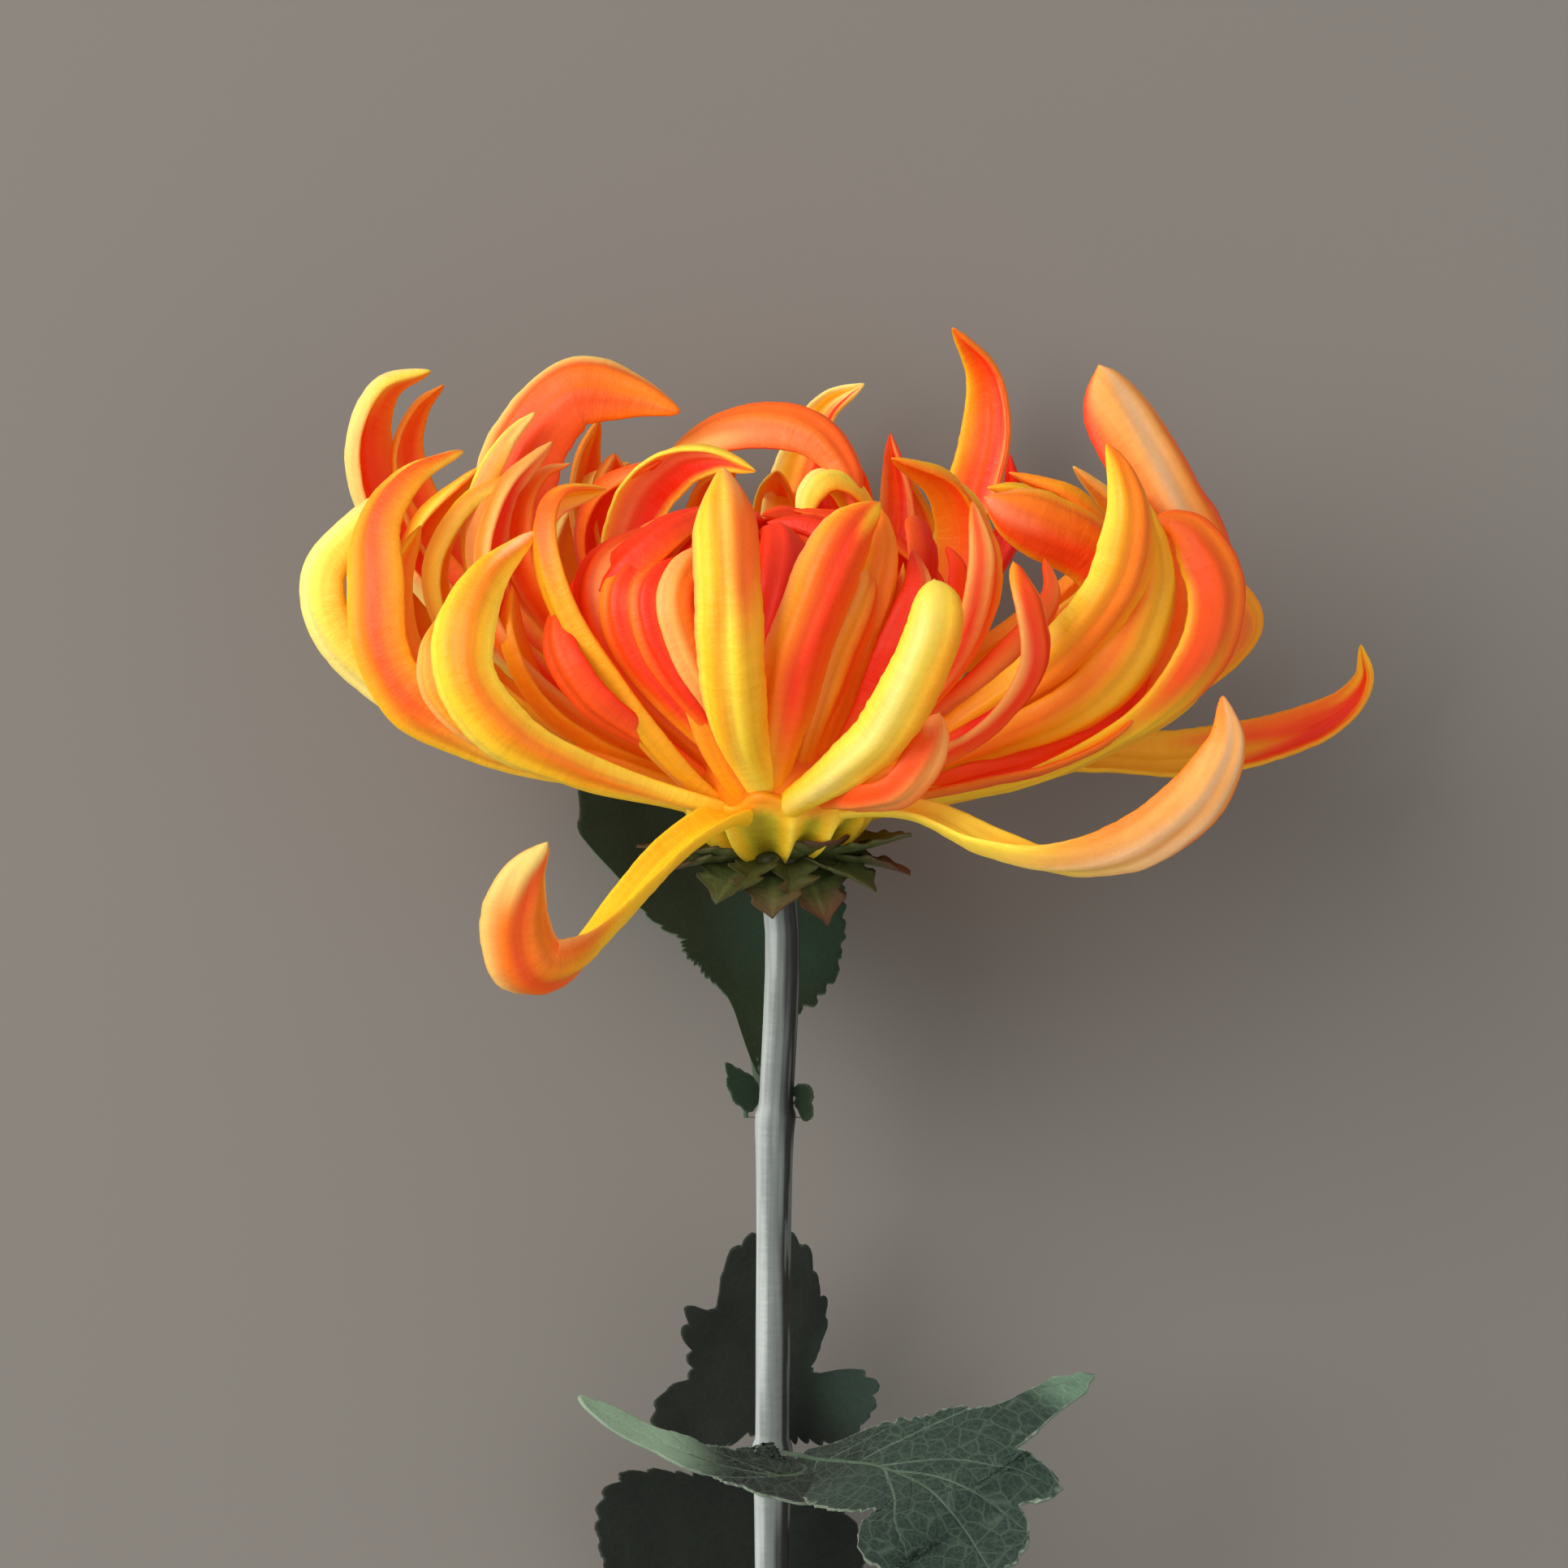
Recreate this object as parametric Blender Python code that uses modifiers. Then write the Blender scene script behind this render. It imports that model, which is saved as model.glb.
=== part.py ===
"""A single incurved chrysanthemum, cut with its stem and leaves and laid on a flat surface.

The flower is designed upright in its own frame, in millimetres: +X to the viewer's right, +Y away
from the viewer, +Z up along the flower's axis, with the origin where the bloom sits on its calyx. An
empty then lays the whole flower down, so that two petals at its back and the cut end of the stem touch
the surface Z = 0. Petals that are placed one by one are given as seen by the viewer: across, up, and
near, which is towards the viewer. All other repeats follow a rule, with a seeded random draw.
"""
import math
import random

import bmesh
import bpy
from mathutils import Quaternion, Vector

MM = 0.001

# The viewer's eye, which the places of the single petals are read from.
EYE_DISTANCE = 700.0
EYE_ELEVATION = math.radians(6.0)
EYE_CENTRE = (0.9, 7.4)

# The stem.
STEM_RADIUS = 2.15
STEM_LENGTH = 165.0
STEM_TOP = -3.6
STEM_PRESS = 0.25
STEM_BEVEL = 3
JOINT_GROWTH = 0.45
STEM_LINE = ((0.3, -3.6), (0.35, -7.0), (0.7, -11.0), (0.7, -16.0), (0.45, -22.0), (0.1, -28.5), (-0.3, -36.0),
             (-0.5, -60.0), (-0.6, -90.0), (-0.3, -120.0), (0.4, -145.0), (1.0, -165.0))
JOINT_HEIGHTS = (-34.0, -76.0, -117.0)
# How far above each joint the stem starts to swell, is full, is still full, and is plain again.
JOINT_PROFILE = ((5.0, False), (1.5, True), (-0.5, True), (-6.0, False))

# The bloom. A petal's root sits on the core, at a share of the height of the petal's first point.
CORE_OUTLINE = ((0.0, 19.0), (6.0, 18.0), (10.6, 14.6), (12.8, 9.6), (11.8, 5.8), (8.0, 2.6), (4.4, 0.7),
                (3.6, 0.0), (0.0, 0.0))
ROOT_RADIUS = 5.5
ROOT_SHARE = 0.62
ROOT_LOWEST = 2.2
ROOT_HIGHEST = 11.5
FOCUS_HEIGHT = 42.0
REAR_STATIONS = 6
BALL_STATIONS = 5
PETAL_THICKNESS = 0.9
LEAST_WIDTH = 1.0

# Width along a petal: a narrow strap, the rise to the full blade, and the pointed tip.
SHRINK_AT_ROOT = 0.36
RISE_START = 0.12
RISE_SPAN = 0.56
TIP_START = 0.70
TIP_POWER = 2.1
TIP_LOSS = 0.9

# Angle of the curl across a petal: at the root, how much it opens by mid-length, and closes at the tip.
ROOT_CURL = 165.0
CURL_OPENING = 55.0
OPEN_BY = 0.6
TIP_CURL = 40.0
TIP_CURL_START = 0.75

# The random draw: its seed, and the ranges of the reach, root turn and tip turn of the rear petals, and
# of the azimuth, the swirl for each point and the height of the petals of the ball.
SEED = 7
REAR_REACH_DRAW = 0.04
REAR_TURN_DRAW = (12.0, 20.0)
BALL_AZIMUTH_DRAW = 5.0
BALL_SWIRL = (4.0, 16.0)
BALL_HEIGHT_DRAW = (0.96, 1.04)
# Lean of the ball to the viewer's left, for each mm of height.
BALL_LEAN = -0.0625

# The calyx.
CALYX_OUTLINE = ((0.0, -0.3), (5.2, -0.3), (5.6, -1.6), (4.7, -4.2), (3.4, -6.2),
                 (2.5, -6.2), (2.5, -3.3), (0.0, -3.3))
BRACT_THICKNESS = 0.7
BRACT_ROOT = (3.4, -1.9)
BRACT_WIDTHS = (0.30, 0.46, 0.50, 0.42, 0.16)
BRACT_CUP = 0.30
BRACT_FALL = 1.6
BRACT_POINT = 1.2

# The leaves: their plate, the gap to the stem, and the rib under the blade.
LEAF_THICKNESS = 0.7
LEAF_GAP = 0.3
RIB_WIDTH = 1.1
RIB_ROWS = 5
RIB_TAPER = 0.09
RIB_DEPTH = 0.4
RIB_AHEAD = 0.4
SIDE_RISE = 1.4
MIDRIB_POINTS = 24

CURVE_STEPS = 16
TURN_STEPS = 16
TURN_MERGE = 1e-5
WELD_DISTANCE = 1e-6
SURFACE_SIZE = (400.0, 500.0, 30.0)

# The surface that the flower lies on touches the rear petals at this reach behind the axis and this
# height on it. Slope of the axis, and the height of the flower's origin above the surface, as it lies.
REAR_REACH = 48.62
REAR_REACH_HEIGHT = 28.0
REST_SLOPE = math.atan2(REAR_REACH - STEM_RADIUS, STEM_LENGTH + REAR_REACH_HEIGHT)
REST_HEIGHT = STEM_LENGTH * math.sin(REST_SLOPE) + (STEM_RADIUS - STEM_PRESS) * math.cos(REST_SLOPE)
REST_SHIFT = (-8.8, 45.5)

# Finishes: colour and roughness.
PETAL_FINISH = ("petal", (1.0, 0.42, 0.06), 0.45)
BRACT_FINISH = ("bract", (0.13, 0.17, 0.06), 0.6)
STEM_FINISH = ("stem", (0.42, 0.47, 0.46), 0.4)
LEAF_FINISH = ("leaf", (0.07, 0.14, 0.09), 0.7)

# Petals placed one by one: name, flat width, turn of the inner face towards the viewer at root and tip in
# degrees, and the line from the bloom's middle to the tip as (across, up, near).
PLACED_PETALS = (
    ("droop_left", 9.4, (16, 0, -30, -62),
     ((-6, 3.6, 12), (-13, -1, 20), (-20.5, -9.3, 29), (-25.6, -14.6, 36), (-30, -15.6, 40),
      (-32, -10.5, 43), (-31, -4.5, 45), (-28.4, 0, 46))),
    ("droop_right", 9.8, (35, 10, -30, -58),
     ((8, 4.2, 8), (17.5, 4.0, 15), (26, 0.2, 21), (35, -2.0, 26), (44, -0.8, 30), (51.4, 4.5, 33),
      (55.6, 12, 34), (55, 18, 32))),
    ("far_right", 6.6, (35, 35, 40, 45),
     ((12, 6, -8), (25, 9.8, -16), (38, 11, -22), (50, 11, -25), (60, 13.0, -26), (68, 16.5, -26),
      (71.8, 20, -25), (72.0, 24.2, -24))),
    ("front_tall", 9.6, (0, 0),
     ((-2, 7, 12), (-4.6, 13, 20), (-5.8, 21, 25), (-6.2, 30, 27), (-6.6, 39, 26.5),
      (-6.6, 46.2, 23))),
    ("front_orange", 9.6, (0, -4),
     ((-0.8, 6.5, 11), (0.4, 14, 18), (2.4, 23, 22.5), (5.4, 31, 24), (8.6, 38, 23), (12.6, 42, 20))),
    ("front_strap", 6.8, (0, 0),
     ((4, 8, 8), (7.2, 16, 13), (10.4, 25, 17), (12.8, 34, 18), (13, 41, 15))),
    ("front_yellow", 9.2, (-10, -20),
     ((2, 5, 12), (7.5, 8.6, 19), (13, 13, 25), (17.2, 20, 29.5), (19.8, 27, 31), (19.4, 34, 28))),
    ("front_curl", 6.0, (0, -30),
     ((6, 5.2, 11), (11, 5.6, 18), (15.4, 6.4, 22), (18.6, 10.5, 23), (20, 16, 21))),
    ("right_hook", 8.4, (10, 30, 10),
     ((12, 8, 9), (19.5, 11, 14), (27, 15.5, 18), (31.6, 22, 20), (31.4, 28.4, 19.5),
      (29.2, 34.6, 16))),
    ("right_upright", 7.6, (0, -10),
     ((12, 11, 6), (18.5, 18, 10), (24, 26, 13), (26, 34, 14), (24.2, 42, 10))),
    ("right_sweep", 8.6, (0, -60, -70, -60),
     ((14, 10, 4), (25, 16.5, 8), (34, 23.5, 12), (40.6, 31, 15), (43.4, 39, 16), (42.6, 45, 14),
      (40.8, 49.2, 10))),
    ("right_under", 9.6, (5, -60, -60),
     ((14, 8, 3), (26, 12, 7), (37, 16.5, 10), (43.5, 23, 11), (46.6, 32, 10), (45.4, 40, 7),
      (43, 44, 4))),
    ("right_tall", 10.4, (0, -30, -60, -60),
     ((16, 8, 0), (31, 11.4, 1), (45.4, 18, 2), (53.4, 27, 2), (53.6, 36, 2), (49.4, 46, 2),
      (44.6, 53.4, 1), (38.8, 59.2, 0))),
    ("right_hood", 10.4, (0, 20, -20, -50),
     ((16, 6, 3), (31, 9, 6), (45, 15, 8), (54, 23, 9), (56.6, 31.4, 9), (53.5, 38, 8),
      (49.6, 40.2, 7), (46, 39.8, 7))),
    ("right_bulge", 8.0, (0, -35),
     ((15, 7, -6), (31, 11, -8), (46, 17, -9), (55.4, 23, -9), (58.2, 28, -8), (54, 32.5, -6),
      (48, 30.6, -4))),
    ("right_red", 7.6, (20, 42),
     ((12, 5, 5), (24, 8.2, 8), (35, 11.4, 9), (42.8, 16, 8), (46.4, 23, 6))),
    ("right_low", 7.4, (8, 15),
     ((13, 4.4, 0), (25, 7.2, 0), (38, 11.4, -2), (49, 17.5, -4), (54, 26, -5), (53, 34, -5))),
    ("right_over", 9.0, (10, -50, -70),
     ((20, 17, -2), (34, 24, -2), (42, 31, -1), (39.4, 36, 0), (33.6, 39.2, 2), (28.6, 41.2, 3),
      (25.8, 42.6, 3))),
    ("right_behind", 7.4, (10, -20),
     ((19, 20, -9), (30, 27, -12), (38, 34, -12), (35, 41.0, -10), (30, 43.4, -7), (26.2, 43.9, -5))),
    ("top_right_tall", 8.8, (0, -10),
     ((9, 14, -10), (16.4, 24, -19), (20.6, 34, -26), (24, 43, -31), (27, 51, -34), (26.6, 58, -34),
      (21.8, 63.4, -31))),
    ("top_right_red", 6.0, (0, 0),
     ((14, 17, -12), (23, 29, -18), (29, 39, -20), (28.8, 47.8, -17))),
    ("top_right_small", 6.8, (0, 0),
     ((7, 18, -14), (12, 29, -21), (15, 40, -24), (14, 50.4, -22))),
    ("top_flag", 8.0, (0, -20),
     ((0.5, 16, -14), (0.4, 28, -24), (1.2, 38, -30), (3.2, 47, -34), (6, 53.4, -34),
      (10.6, 56.6, -31))),
    ("top_arch", 9.8, (0, -40, -70),
     ((-16, 21, -12), (-19, 34, -17), (-18, 44, -17), (-12.6, 51, -14), (-4, 53, -10), (4, 51.4, -7),
      (8.8, 46, -5), (9.6, 41, -4))),
    ("second_arch", 8.4, (0, 20, 40),
     ((-15, 18, -7), (-19.6, 31, -9), (-17.6, 41, -9), (-13, 46.4, -6), (-8, 47.6, -3),
      (-2.8, 46, -1))),
    ("yellow_fold", 10.4, (0, 40),
     ((8, 18, -8), (11.6, 30, -9), (11.4, 40, -8), (8.4, 44.4, -4), (4.6, 42.6, 0), (2.4, 37, 3))),
    ("left_front_hook", 9.4, (0, -45, -50),
     ((-9, 4.8, 11), (-16.5, 6.8, 15), (-25, 9.2, 19), (-33, 12.8, 22), (-38.2, 19, 23.5),
      (-39, 26, 23), (-36, 33.0, 20), (-29.8, 38.4, 15))),
    ("left_big_hook", 9.2, (10, 50, 60, 30),
     ((-18, 7.6, 6), (-28, 9.4, 9), (-37.6, 12, 11), (-46, 16.4, 12), (-50.2, 23.5, 12), (-51, 31, 11),
      (-49.6, 39, 9), (-45.4, 45, 7), (-38.9, 48.3, 4))),
    ("left_pale", 10.4, (0, 20),
     ((-20, 9, 0), (-34, 12.4, 0), (-46, 17.6, 0), (-54.4, 25, 0), (-56.4, 33, 0), (-51, 40, 0),
      (-44, 45, 0))),
    ("left_inner", 8.0, (20, 30),
     ((-18, 8.4, 3), (-30, 12.4, 5), (-40, 17, 6), (-46.4, 24, 6), (-47, 32, 5), (-44.0, 39, 4))),
    ("left_edge", 7.0, (0, -20),
     ((-14, 8, 8), (-25, 11, 13), (-35.4, 13, 16), (-41.6, 18, 17), (-42.6, 24, 16), (-40, 29.6, 13))),
    ("left_tall", 9.8, (10, 40, 30),
     ((-14, 12, -7), (-26, 18.4, -11), (-36, 25.6, -14), (-44.6, 34.4, -17), (-50, 42, -18),
      (-51.4, 50, -18), (-48.6, 56.6, -17), (-42.8, 58.6, -16))),
    ("left_tall_pair", 7.8, (15, 35, 15),
     ((-16, 15, -10), (-27, 22, -15), (-37, 31, -20), (-43.6, 40, -22), (-45.8, 48, -22),
      (-44.2, 53.4, -21), (-41.2, 56.4, -20))),
    ("top_left_hook", 12.4, (0, 30, 0),
     ((-16, 15, -4), (-26, 26, -7), (-31, 36, -9), (-31.4, 47, -10), (-27, 54.6, -9), (-21, 57.4, -8),
      (-16, 56, -7), (-12.4, 53.3, -6))),
    ("top_left_pale", 8.6, (0, 30),
     ((-18, 13, -1), (-29, 21, -2), (-36, 31, -3), (-37, 41, -4), (-33.6, 49, -5), (-30, 53, -5))),
    ("left_point", 8.0, (0, 30),
     ((-15, 11, 5), (-25, 17, 8), (-33.0, 25, 10), (-35.4, 34, 10), (-33.4, 43, 8), (-27.8, 49.4, 5))),
    ("left_long_strap", 7.0, (0, 20),
     ((-8, 5.4, 9), (-14, 11, 14), (-20.6, 19.6, 17), (-26.2, 28.6, 18), (-28.6, 37, 17),
      (-27.0, 42.2, 14), (-21.2, 43.7, 11))),
    ("left_short_tip", 6.6, (0, -20),
     ((-15, 14, 3), (-24, 23, 5), (-31, 33, 6), (-31.4, 41, 5), (-29.2, 45.2, 4), (-25.6, 46.8, 3))),
    ("mid_left_rear", 7.0, (0, 0),
     ((-15, 18, -14), (-20, 29, -20), (-23.4, 40, -23), (-23.6, 47, -23), (-21.9, 52.3, -21))),
    ("mid_left_second", 7.6, (0, 0),
     ((-12, 18, -10), (-17, 29, -14), (-20.4, 38, -16), (-20.8, 44.6, -15), (-20.0, 48, -13))),
    ("left_red", 8.4, (0, -25),
     ((-9, 8.4, 9), (-16, 12.6, 14), (-22.4, 16.4, 18), (-26.4, 21, 19), (-28.0, 25.5, 18),
      (-26.2, 31, 15))),
    ("left_yellow_fill", 8.6, (10, 20),
     ((-13, 9, 5), (-22, 12.6, 9), (-29, 18, 11), (-32.4, 25, 11), (-32.6, 31.6, 9))),
    ("front_left_strap", 7.4, (0, -8),
     ((-4, 5.6, 10), (-7.4, 12, 15), (-10, 20, 18), (-10.8, 28, 18.5), (-9.4, 35.4, 15))),
    ("front_left_curl", 6.6, (0, 20),
     ((-4, 10, 12), (-8.0, 18, 17), (-10.7, 23.6, 19), (-9.6, 29, 20), (-6.5, 32, 18))),
    ("front_right_inner", 6.6, (0, -10),
     ((6, 9, 9), (11, 16, 14), (15, 24, 17), (17.6, 31, 17), (16.8, 36, 14))),
)

# Petals placed by a rule: count, first azimuth and step in degrees, flat width, and the line as (radius, up).
REAR_PETALS = (
    (4, 27.0, 42.0, 9.0, ((14, 4.5), (27, 6.5), (39, 11.5), (48.5, 19), (52.6, 28), (50, 38), (42, 45.4))),
    (5, 12.0, 39.0, 8.4, ((12, 7.5), (23, 11.5), (34, 18), (42, 26.5), (44, 36), (39, 45), (30, 49.5))),
    (4, 35.0, 37.0, 8.0, ((9, 11.5), (17, 19), (25, 28), (29.5, 38), (27, 47), (18, 51.5))),
)
BALL_PETALS = (
    (9, 5.0, 40.0, 8.8, ((9, 8), (17, 13.5), (22.6, 22), (22.6, 31), (15, 38), (6, 40.6))),
    (6, 20.0, 60.0, 8.4, ((7, 11), (12.6, 17), (16.4, 25), (14.6, 33.6), (7.6, 39), (1.5, 39.6))),
    (3, 0.0, 120.0, 7.2, ((4, 13.5), (7, 19), (8.6, 27), (6.2, 34.4), (1.5, 37))),
)

# Bracts under the bloom: azimuth, reach, drop of the tip below the calyx top, and width.
BRACTS = (
    (268, 11.5, -7.6, 6.6), (302, 10.5, -8.2, 6.4), (330, 13.0, -4.6, 6.2), (358, 15.5, -3.6, 6.6),
    (20, 15.0, 0.4, 6.6), (60, 13.0, -3.0, 6.4), (100, 13.5, -4.0, 6.6), (138, 13.0, -3.0, 6.4),
    (172, 15.0, -0.6, 5.4), (200, 14.5, -2.4, 5.4), (236, 12.5, -6.0, 6.8),
)

# Outlines of the leaves: direction from the midrib in degrees, and distance from the blade's centre to its
# edge in mm. The first directions are on the viewer's right, or on the left of the leaf that points forward.
HIGH_OUTLINE = (
    (0, 31.7), (5.6, 31.1), (19.2, 28.1), (33.8, 24.6), (50.5, 21.5), (69.8, 18.8), (88.2, 16.6),
    (105.4, 15.8), (121.5, 15.4), (132.4, 16.2), (141.8, 15.4), (148.6, 15.6), (155.8, 15),
    (169.7, 17.3), (178.6, 22.1), (182, 21.9), (184.6, 13.5), (188.4, 9.7), (198.2, 7.6), (226.6, 5.3),
    (288.4, 4.8), (309.9, 9.6), (322.3, 14.1), (328.2, 16.1), (330.1, 21.3), (332.3, 25.5),
    (336.4, 25.6), (343.1, 30.1), (354.1, 32.2),
)
BACK_OUTLINE = (
    (0, 19.6), (7.7, 19.2), (13.2, 17.4), (19.7, 14.4), (30.9, 12), (41.8, 9), (50.4, 6.7), (60, 5.2),
    (64.8, 5), (69.1, 7), (73, 10), (78.8, 12.1), (85.4, 13.1), (93.3, 13.1), (104.3, 12.5),
    (117.4, 11.6), (137.8, 8.5), (168, 5.5), (204.1, 6.5), (223.3, 13.5), (233.8, 15.7), (246.2, 16),
    (256.7, 14.9), (266.8, 12.5), (273, 10.6), (291, 11.9), (300.6, 13.6), (310.6, 15), (316, 13),
    (322.4, 12.2), (330, 15), (337.8, 17.6), (345.2, 19.2), (351, 19.6),
)
FRONT_OUTLINE = (
    (0, 21), (12, 20), (25, 17), (40, 15.5), (55, 13), (78, 15.5), (98, 7.5), (112, 14), (122, 26), (130, 38),
    (136, 42), (142, 38), (150, 24), (160, 14), (180, 15), (195, 14), (210, 16), (225, 20), (240, 26),
    (252, 31), (260, 30), (268, 24), (278, 13), (288, 14.5), (298, 17), (308, 16.5), (316, 12.5), (325, 15),
    (340, 18.5),
)
LOW_OUTLINE = (
    (0, 5.1), (15.7, 4.9), (57.3, 7.6), (79.3, 11.6), (97.3, 16), (112.3, 18.6), (125.1, 19.8),
    (140.4, 19.9), (154.9, 18.9), (169.9, 19.7), (183.5, 19.1), (198.4, 16.6), (222, 16.2),
    (240.3, 16.8), (253.3, 16.5), (267.9, 16.1), (283.3, 15.2), (298.3, 12.4), (306.3, 9.1),
    (317, 6.2), (343.9, 5.5),
)
SCALE_OUTLINE = (
    (0, 4), (30, 3.4), (60, 2), (90, 1.2), (130, 1), (180, 2.4), (230, 2), (270, 1.9), (300, 2.6), (330, 3.6),
)

# Leaves: name, number of the joint they come from, direction of the foot about the stem, line of the midrib
# as (across, up, near), the way that the upper side faces, how far the blade's centre is from the foot, how
# far the two sides rise, the outline, the number of points round it, and the shares of the rings from the
# middle out.
LEAVES = (
    ("leaf_high", 0, (-0.3, 1),
     ((-3.2, -23, -12), (-6.4, -13, -19), (-10.6, -4, -27), (-15, 5.4, -34)),
     (0, -1, 0.85), 26, (0.22, 0.20), HIGH_OUTLINE, 60, (0.5, 1.0)),
    ("leaf_scale_left", 0, (-1, -0.15), ((-4.6, -31, -3), (-5.6, -27.4, -3)),
     (0.5, -1, 0.2), 3.5, (0, 0), SCALE_OUTLINE, 18, (1.0,)),
    ("leaf_scale_right", 0, (1, -0.15), ((4.1, -32.6, -3.2), (4.7, -30, -3)),
     (-0.3, -1, 0.2), 3.5, (0, 0), SCALE_OUTLINE, 18, (1.0,)),
    ("leaf_back", 1, (-0.2, 1), ((-1.2, -67, -13), (-1.2, -60, -14.6), (-0.6, -52, -16)),
     (0, -1, 0.3), 7, (0.10, 0.14), BACK_OUTLINE, 60, (0.5, 1.0)),
    ("leaf_front", 1, (0.5, -0.85),
     ((6.3, -75.5, 4), (12.3, -75.7, 12), (18.3, -78, 20), (20.8, -80.5, 24), (23.3, -84, 28),
      (25.8, -87.5, 31), (27.5, -91, 33.5)),
     (0, 0.12, 1), 26, (0.42, 0.46), FRONT_OUTLINE, 60, (0.5, 1.0)),
    ("leaf_low", 2, (-0.4, 1), ((-3, -106, -14), (-5, -95, -17), (-6.5, -84, -18), (-7, -77, -18)),
     (0, -1, 0.3), 33, (0.10, 0.10), LOW_OUTLINE, 60, (0.5, 1.0)),
)


def from_view(across, up, near):
    """A point of the flower's own frame, from where the viewer sees it and how near it is."""
    shrink = (EYE_DISTANCE - near) / EYE_DISTANCE
    x = EYE_CENTRE[0] + (across - EYE_CENTRE[0]) * shrink
    v = EYE_CENTRE[1] + (up - EYE_CENTRE[1]) * shrink
    towards = Vector((0, -math.cos(EYE_ELEVATION), math.sin(EYE_ELEVATION)))
    upward = Vector((0, math.sin(EYE_ELEVATION), math.cos(EYE_ELEVATION)))
    return Vector((x, 0, 0)) + upward * v + towards * near


def smooth_line(points, count):
    """Evenly spaced points along a smooth curve through the given points."""
    ends = [points[0] * 2 - points[1], *points, points[-1] * 2 - points[-2]]
    dense = []
    for a, b, c, d in zip(ends, ends[1:], ends[2:], ends[3:]):
        for step in range(CURVE_STEPS):
            t = step / CURVE_STEPS
            dense.append(0.5 * (2 * b + (c - a) * t + (2 * a - 5 * b + 4 * c - d) * t * t
                                + (3 * b - a - 3 * c + d) * t ** 3))
    dense.append(points[-1].copy())
    reach = [0.0]
    for p, q in zip(dense, dense[1:]):
        reach.append(reach[-1] + (q - p).length)
    line, k = [], 0
    for i in range(count):
        want = reach[-1] * i / (count - 1)
        while k < len(reach) - 2 and reach[k + 1] < want:
            k += 1
        share = (want - reach[k]) / max(reach[k + 1] - reach[k], 1e-9)
        line.append(dense[k].lerp(dense[k + 1], min(1.0, share)))
    return line


def petal_width(t):
    """Share of a petal's full width at t along it: a narrow strap, a broad blade and a pointed tip."""
    rise = min(1.0, max(0.0, (t - RISE_START) / RISE_SPAN))
    strap = SHRINK_AT_ROOT + (1 - SHRINK_AT_ROOT) * rise * rise * (3 - 2 * rise)
    fall = max(0.0, (t - TIP_START) / (1 - TIP_START))
    return strap * (1 - fall ** TIP_POWER * TIP_LOSS)


def petal_arc(t):
    """Angle that a petal's cross-section is curled through at t along it."""
    closing = max(0.0, (t - TIP_CURL_START) / (1 - TIP_CURL_START))
    return math.radians(ROOT_CURL - CURL_OPENING * min(1.0, t / OPEN_BY) + TIP_CURL * closing)


def between(values, t):
    """The value at t along an evenly spaced list of values."""
    place = t * (len(values) - 1)
    k = min(int(place), len(values) - 2)
    return values[k] + (values[k + 1] - values[k]) * (place - k)


def petal_frames(line, turn):
    """(point, inward normal, sideways) at each point of a petal's line."""
    frames = []
    normal = Vector((0, 0, FOCUS_HEIGHT)) - line[0]
    side = 1 if line[len(line) // 2].x >= 0 else -1
    for i, p in enumerate(line):
        tangent = (line[min(i + 1, len(line) - 1)] - line[max(i - 1, 0)]).normalized()
        normal = (normal - tangent * normal.dot(tangent)).normalized()
        roll = math.radians(between(turn, i / (len(line) - 1))) * side
        inward = Quaternion(tangent, roll) @ normal
        frames.append((p, inward, tangent.cross(inward)))
    return frames


def strip_object(name, rows, thickness, collection):
    """A thin curved strip: an open grid through the rows of points, thickened by a Solidify modifier."""
    bm = bmesh.new()
    grid = [[bm.verts.new(p * MM) for p in row] for row in rows]
    for r0, r1 in zip(grid, grid[1:]):
        for a, b, c, d in zip(r0, r0[1:], r1[1:], r1):
            bm.faces.new((a, b, c, d))
    mesh = bpy.data.meshes.new(name)
    bmesh.ops.triangulate(bm, faces=bm.faces)
    bmesh.ops.recalc_face_normals(bm, faces=bm.faces)
    bm.to_mesh(mesh)
    bm.free()
    strip = bpy.data.objects.new(name, mesh)
    collection.objects.link(strip)
    solid = strip.modifiers.new("thickness", "SOLIDIFY")
    solid.thickness = thickness * MM
    solid.offset = 0.0
    return strip


def petal(name, points, width, turn, stations, collection):
    """One petal: a channelled strap from the bloom's core that broadens to a cupped, pointed blade."""
    first = points[0]
    outward = Vector((first.x, first.y, 0)).normalized()
    root = outward * ROOT_RADIUS + Vector((0, 0, max(ROOT_LOWEST, min(ROOT_HIGHEST, first.z * ROOT_SHARE))))
    rows = []
    frames = petal_frames(smooth_line([root, *points], stations), turn)
    for i, (p, inward, sideways) in enumerate(frames):
        t = i / (stations - 1)
        arc = petal_arc(t)
        radius = max(width * petal_width(t), LEAST_WIDTH) / arc
        depth = radius * (1 - math.cos(arc / 2))
        rows.append([p + sideways * (radius * math.sin(s * arc / 2))
                     + inward * (radius * (1 - math.cos(s * arc / 2)) - depth / 2) for s in (-1, 0, 1)])
    return strip_object(name, rows, PETAL_THICKNESS, collection)


def turned(name, outline, collection):
    """A solid of revolution about the flower's axis, from an outline that runs down its outer side."""
    mesh = bpy.data.meshes.new(name)
    edges = [(i, i + 1) for i in range(len(outline) - 1)]
    mesh.from_pydata([(r * MM, 0, z * MM) for r, z in outline], edges, [])
    body = bpy.data.objects.new(name, mesh)
    collection.objects.link(body)
    screw = body.modifiers.new("turn", "SCREW")
    screw.steps = TURN_STEPS
    screw.render_steps = TURN_STEPS
    screw.use_merge_vertices = True
    screw.merge_threshold = TURN_MERGE
    return body


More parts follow.
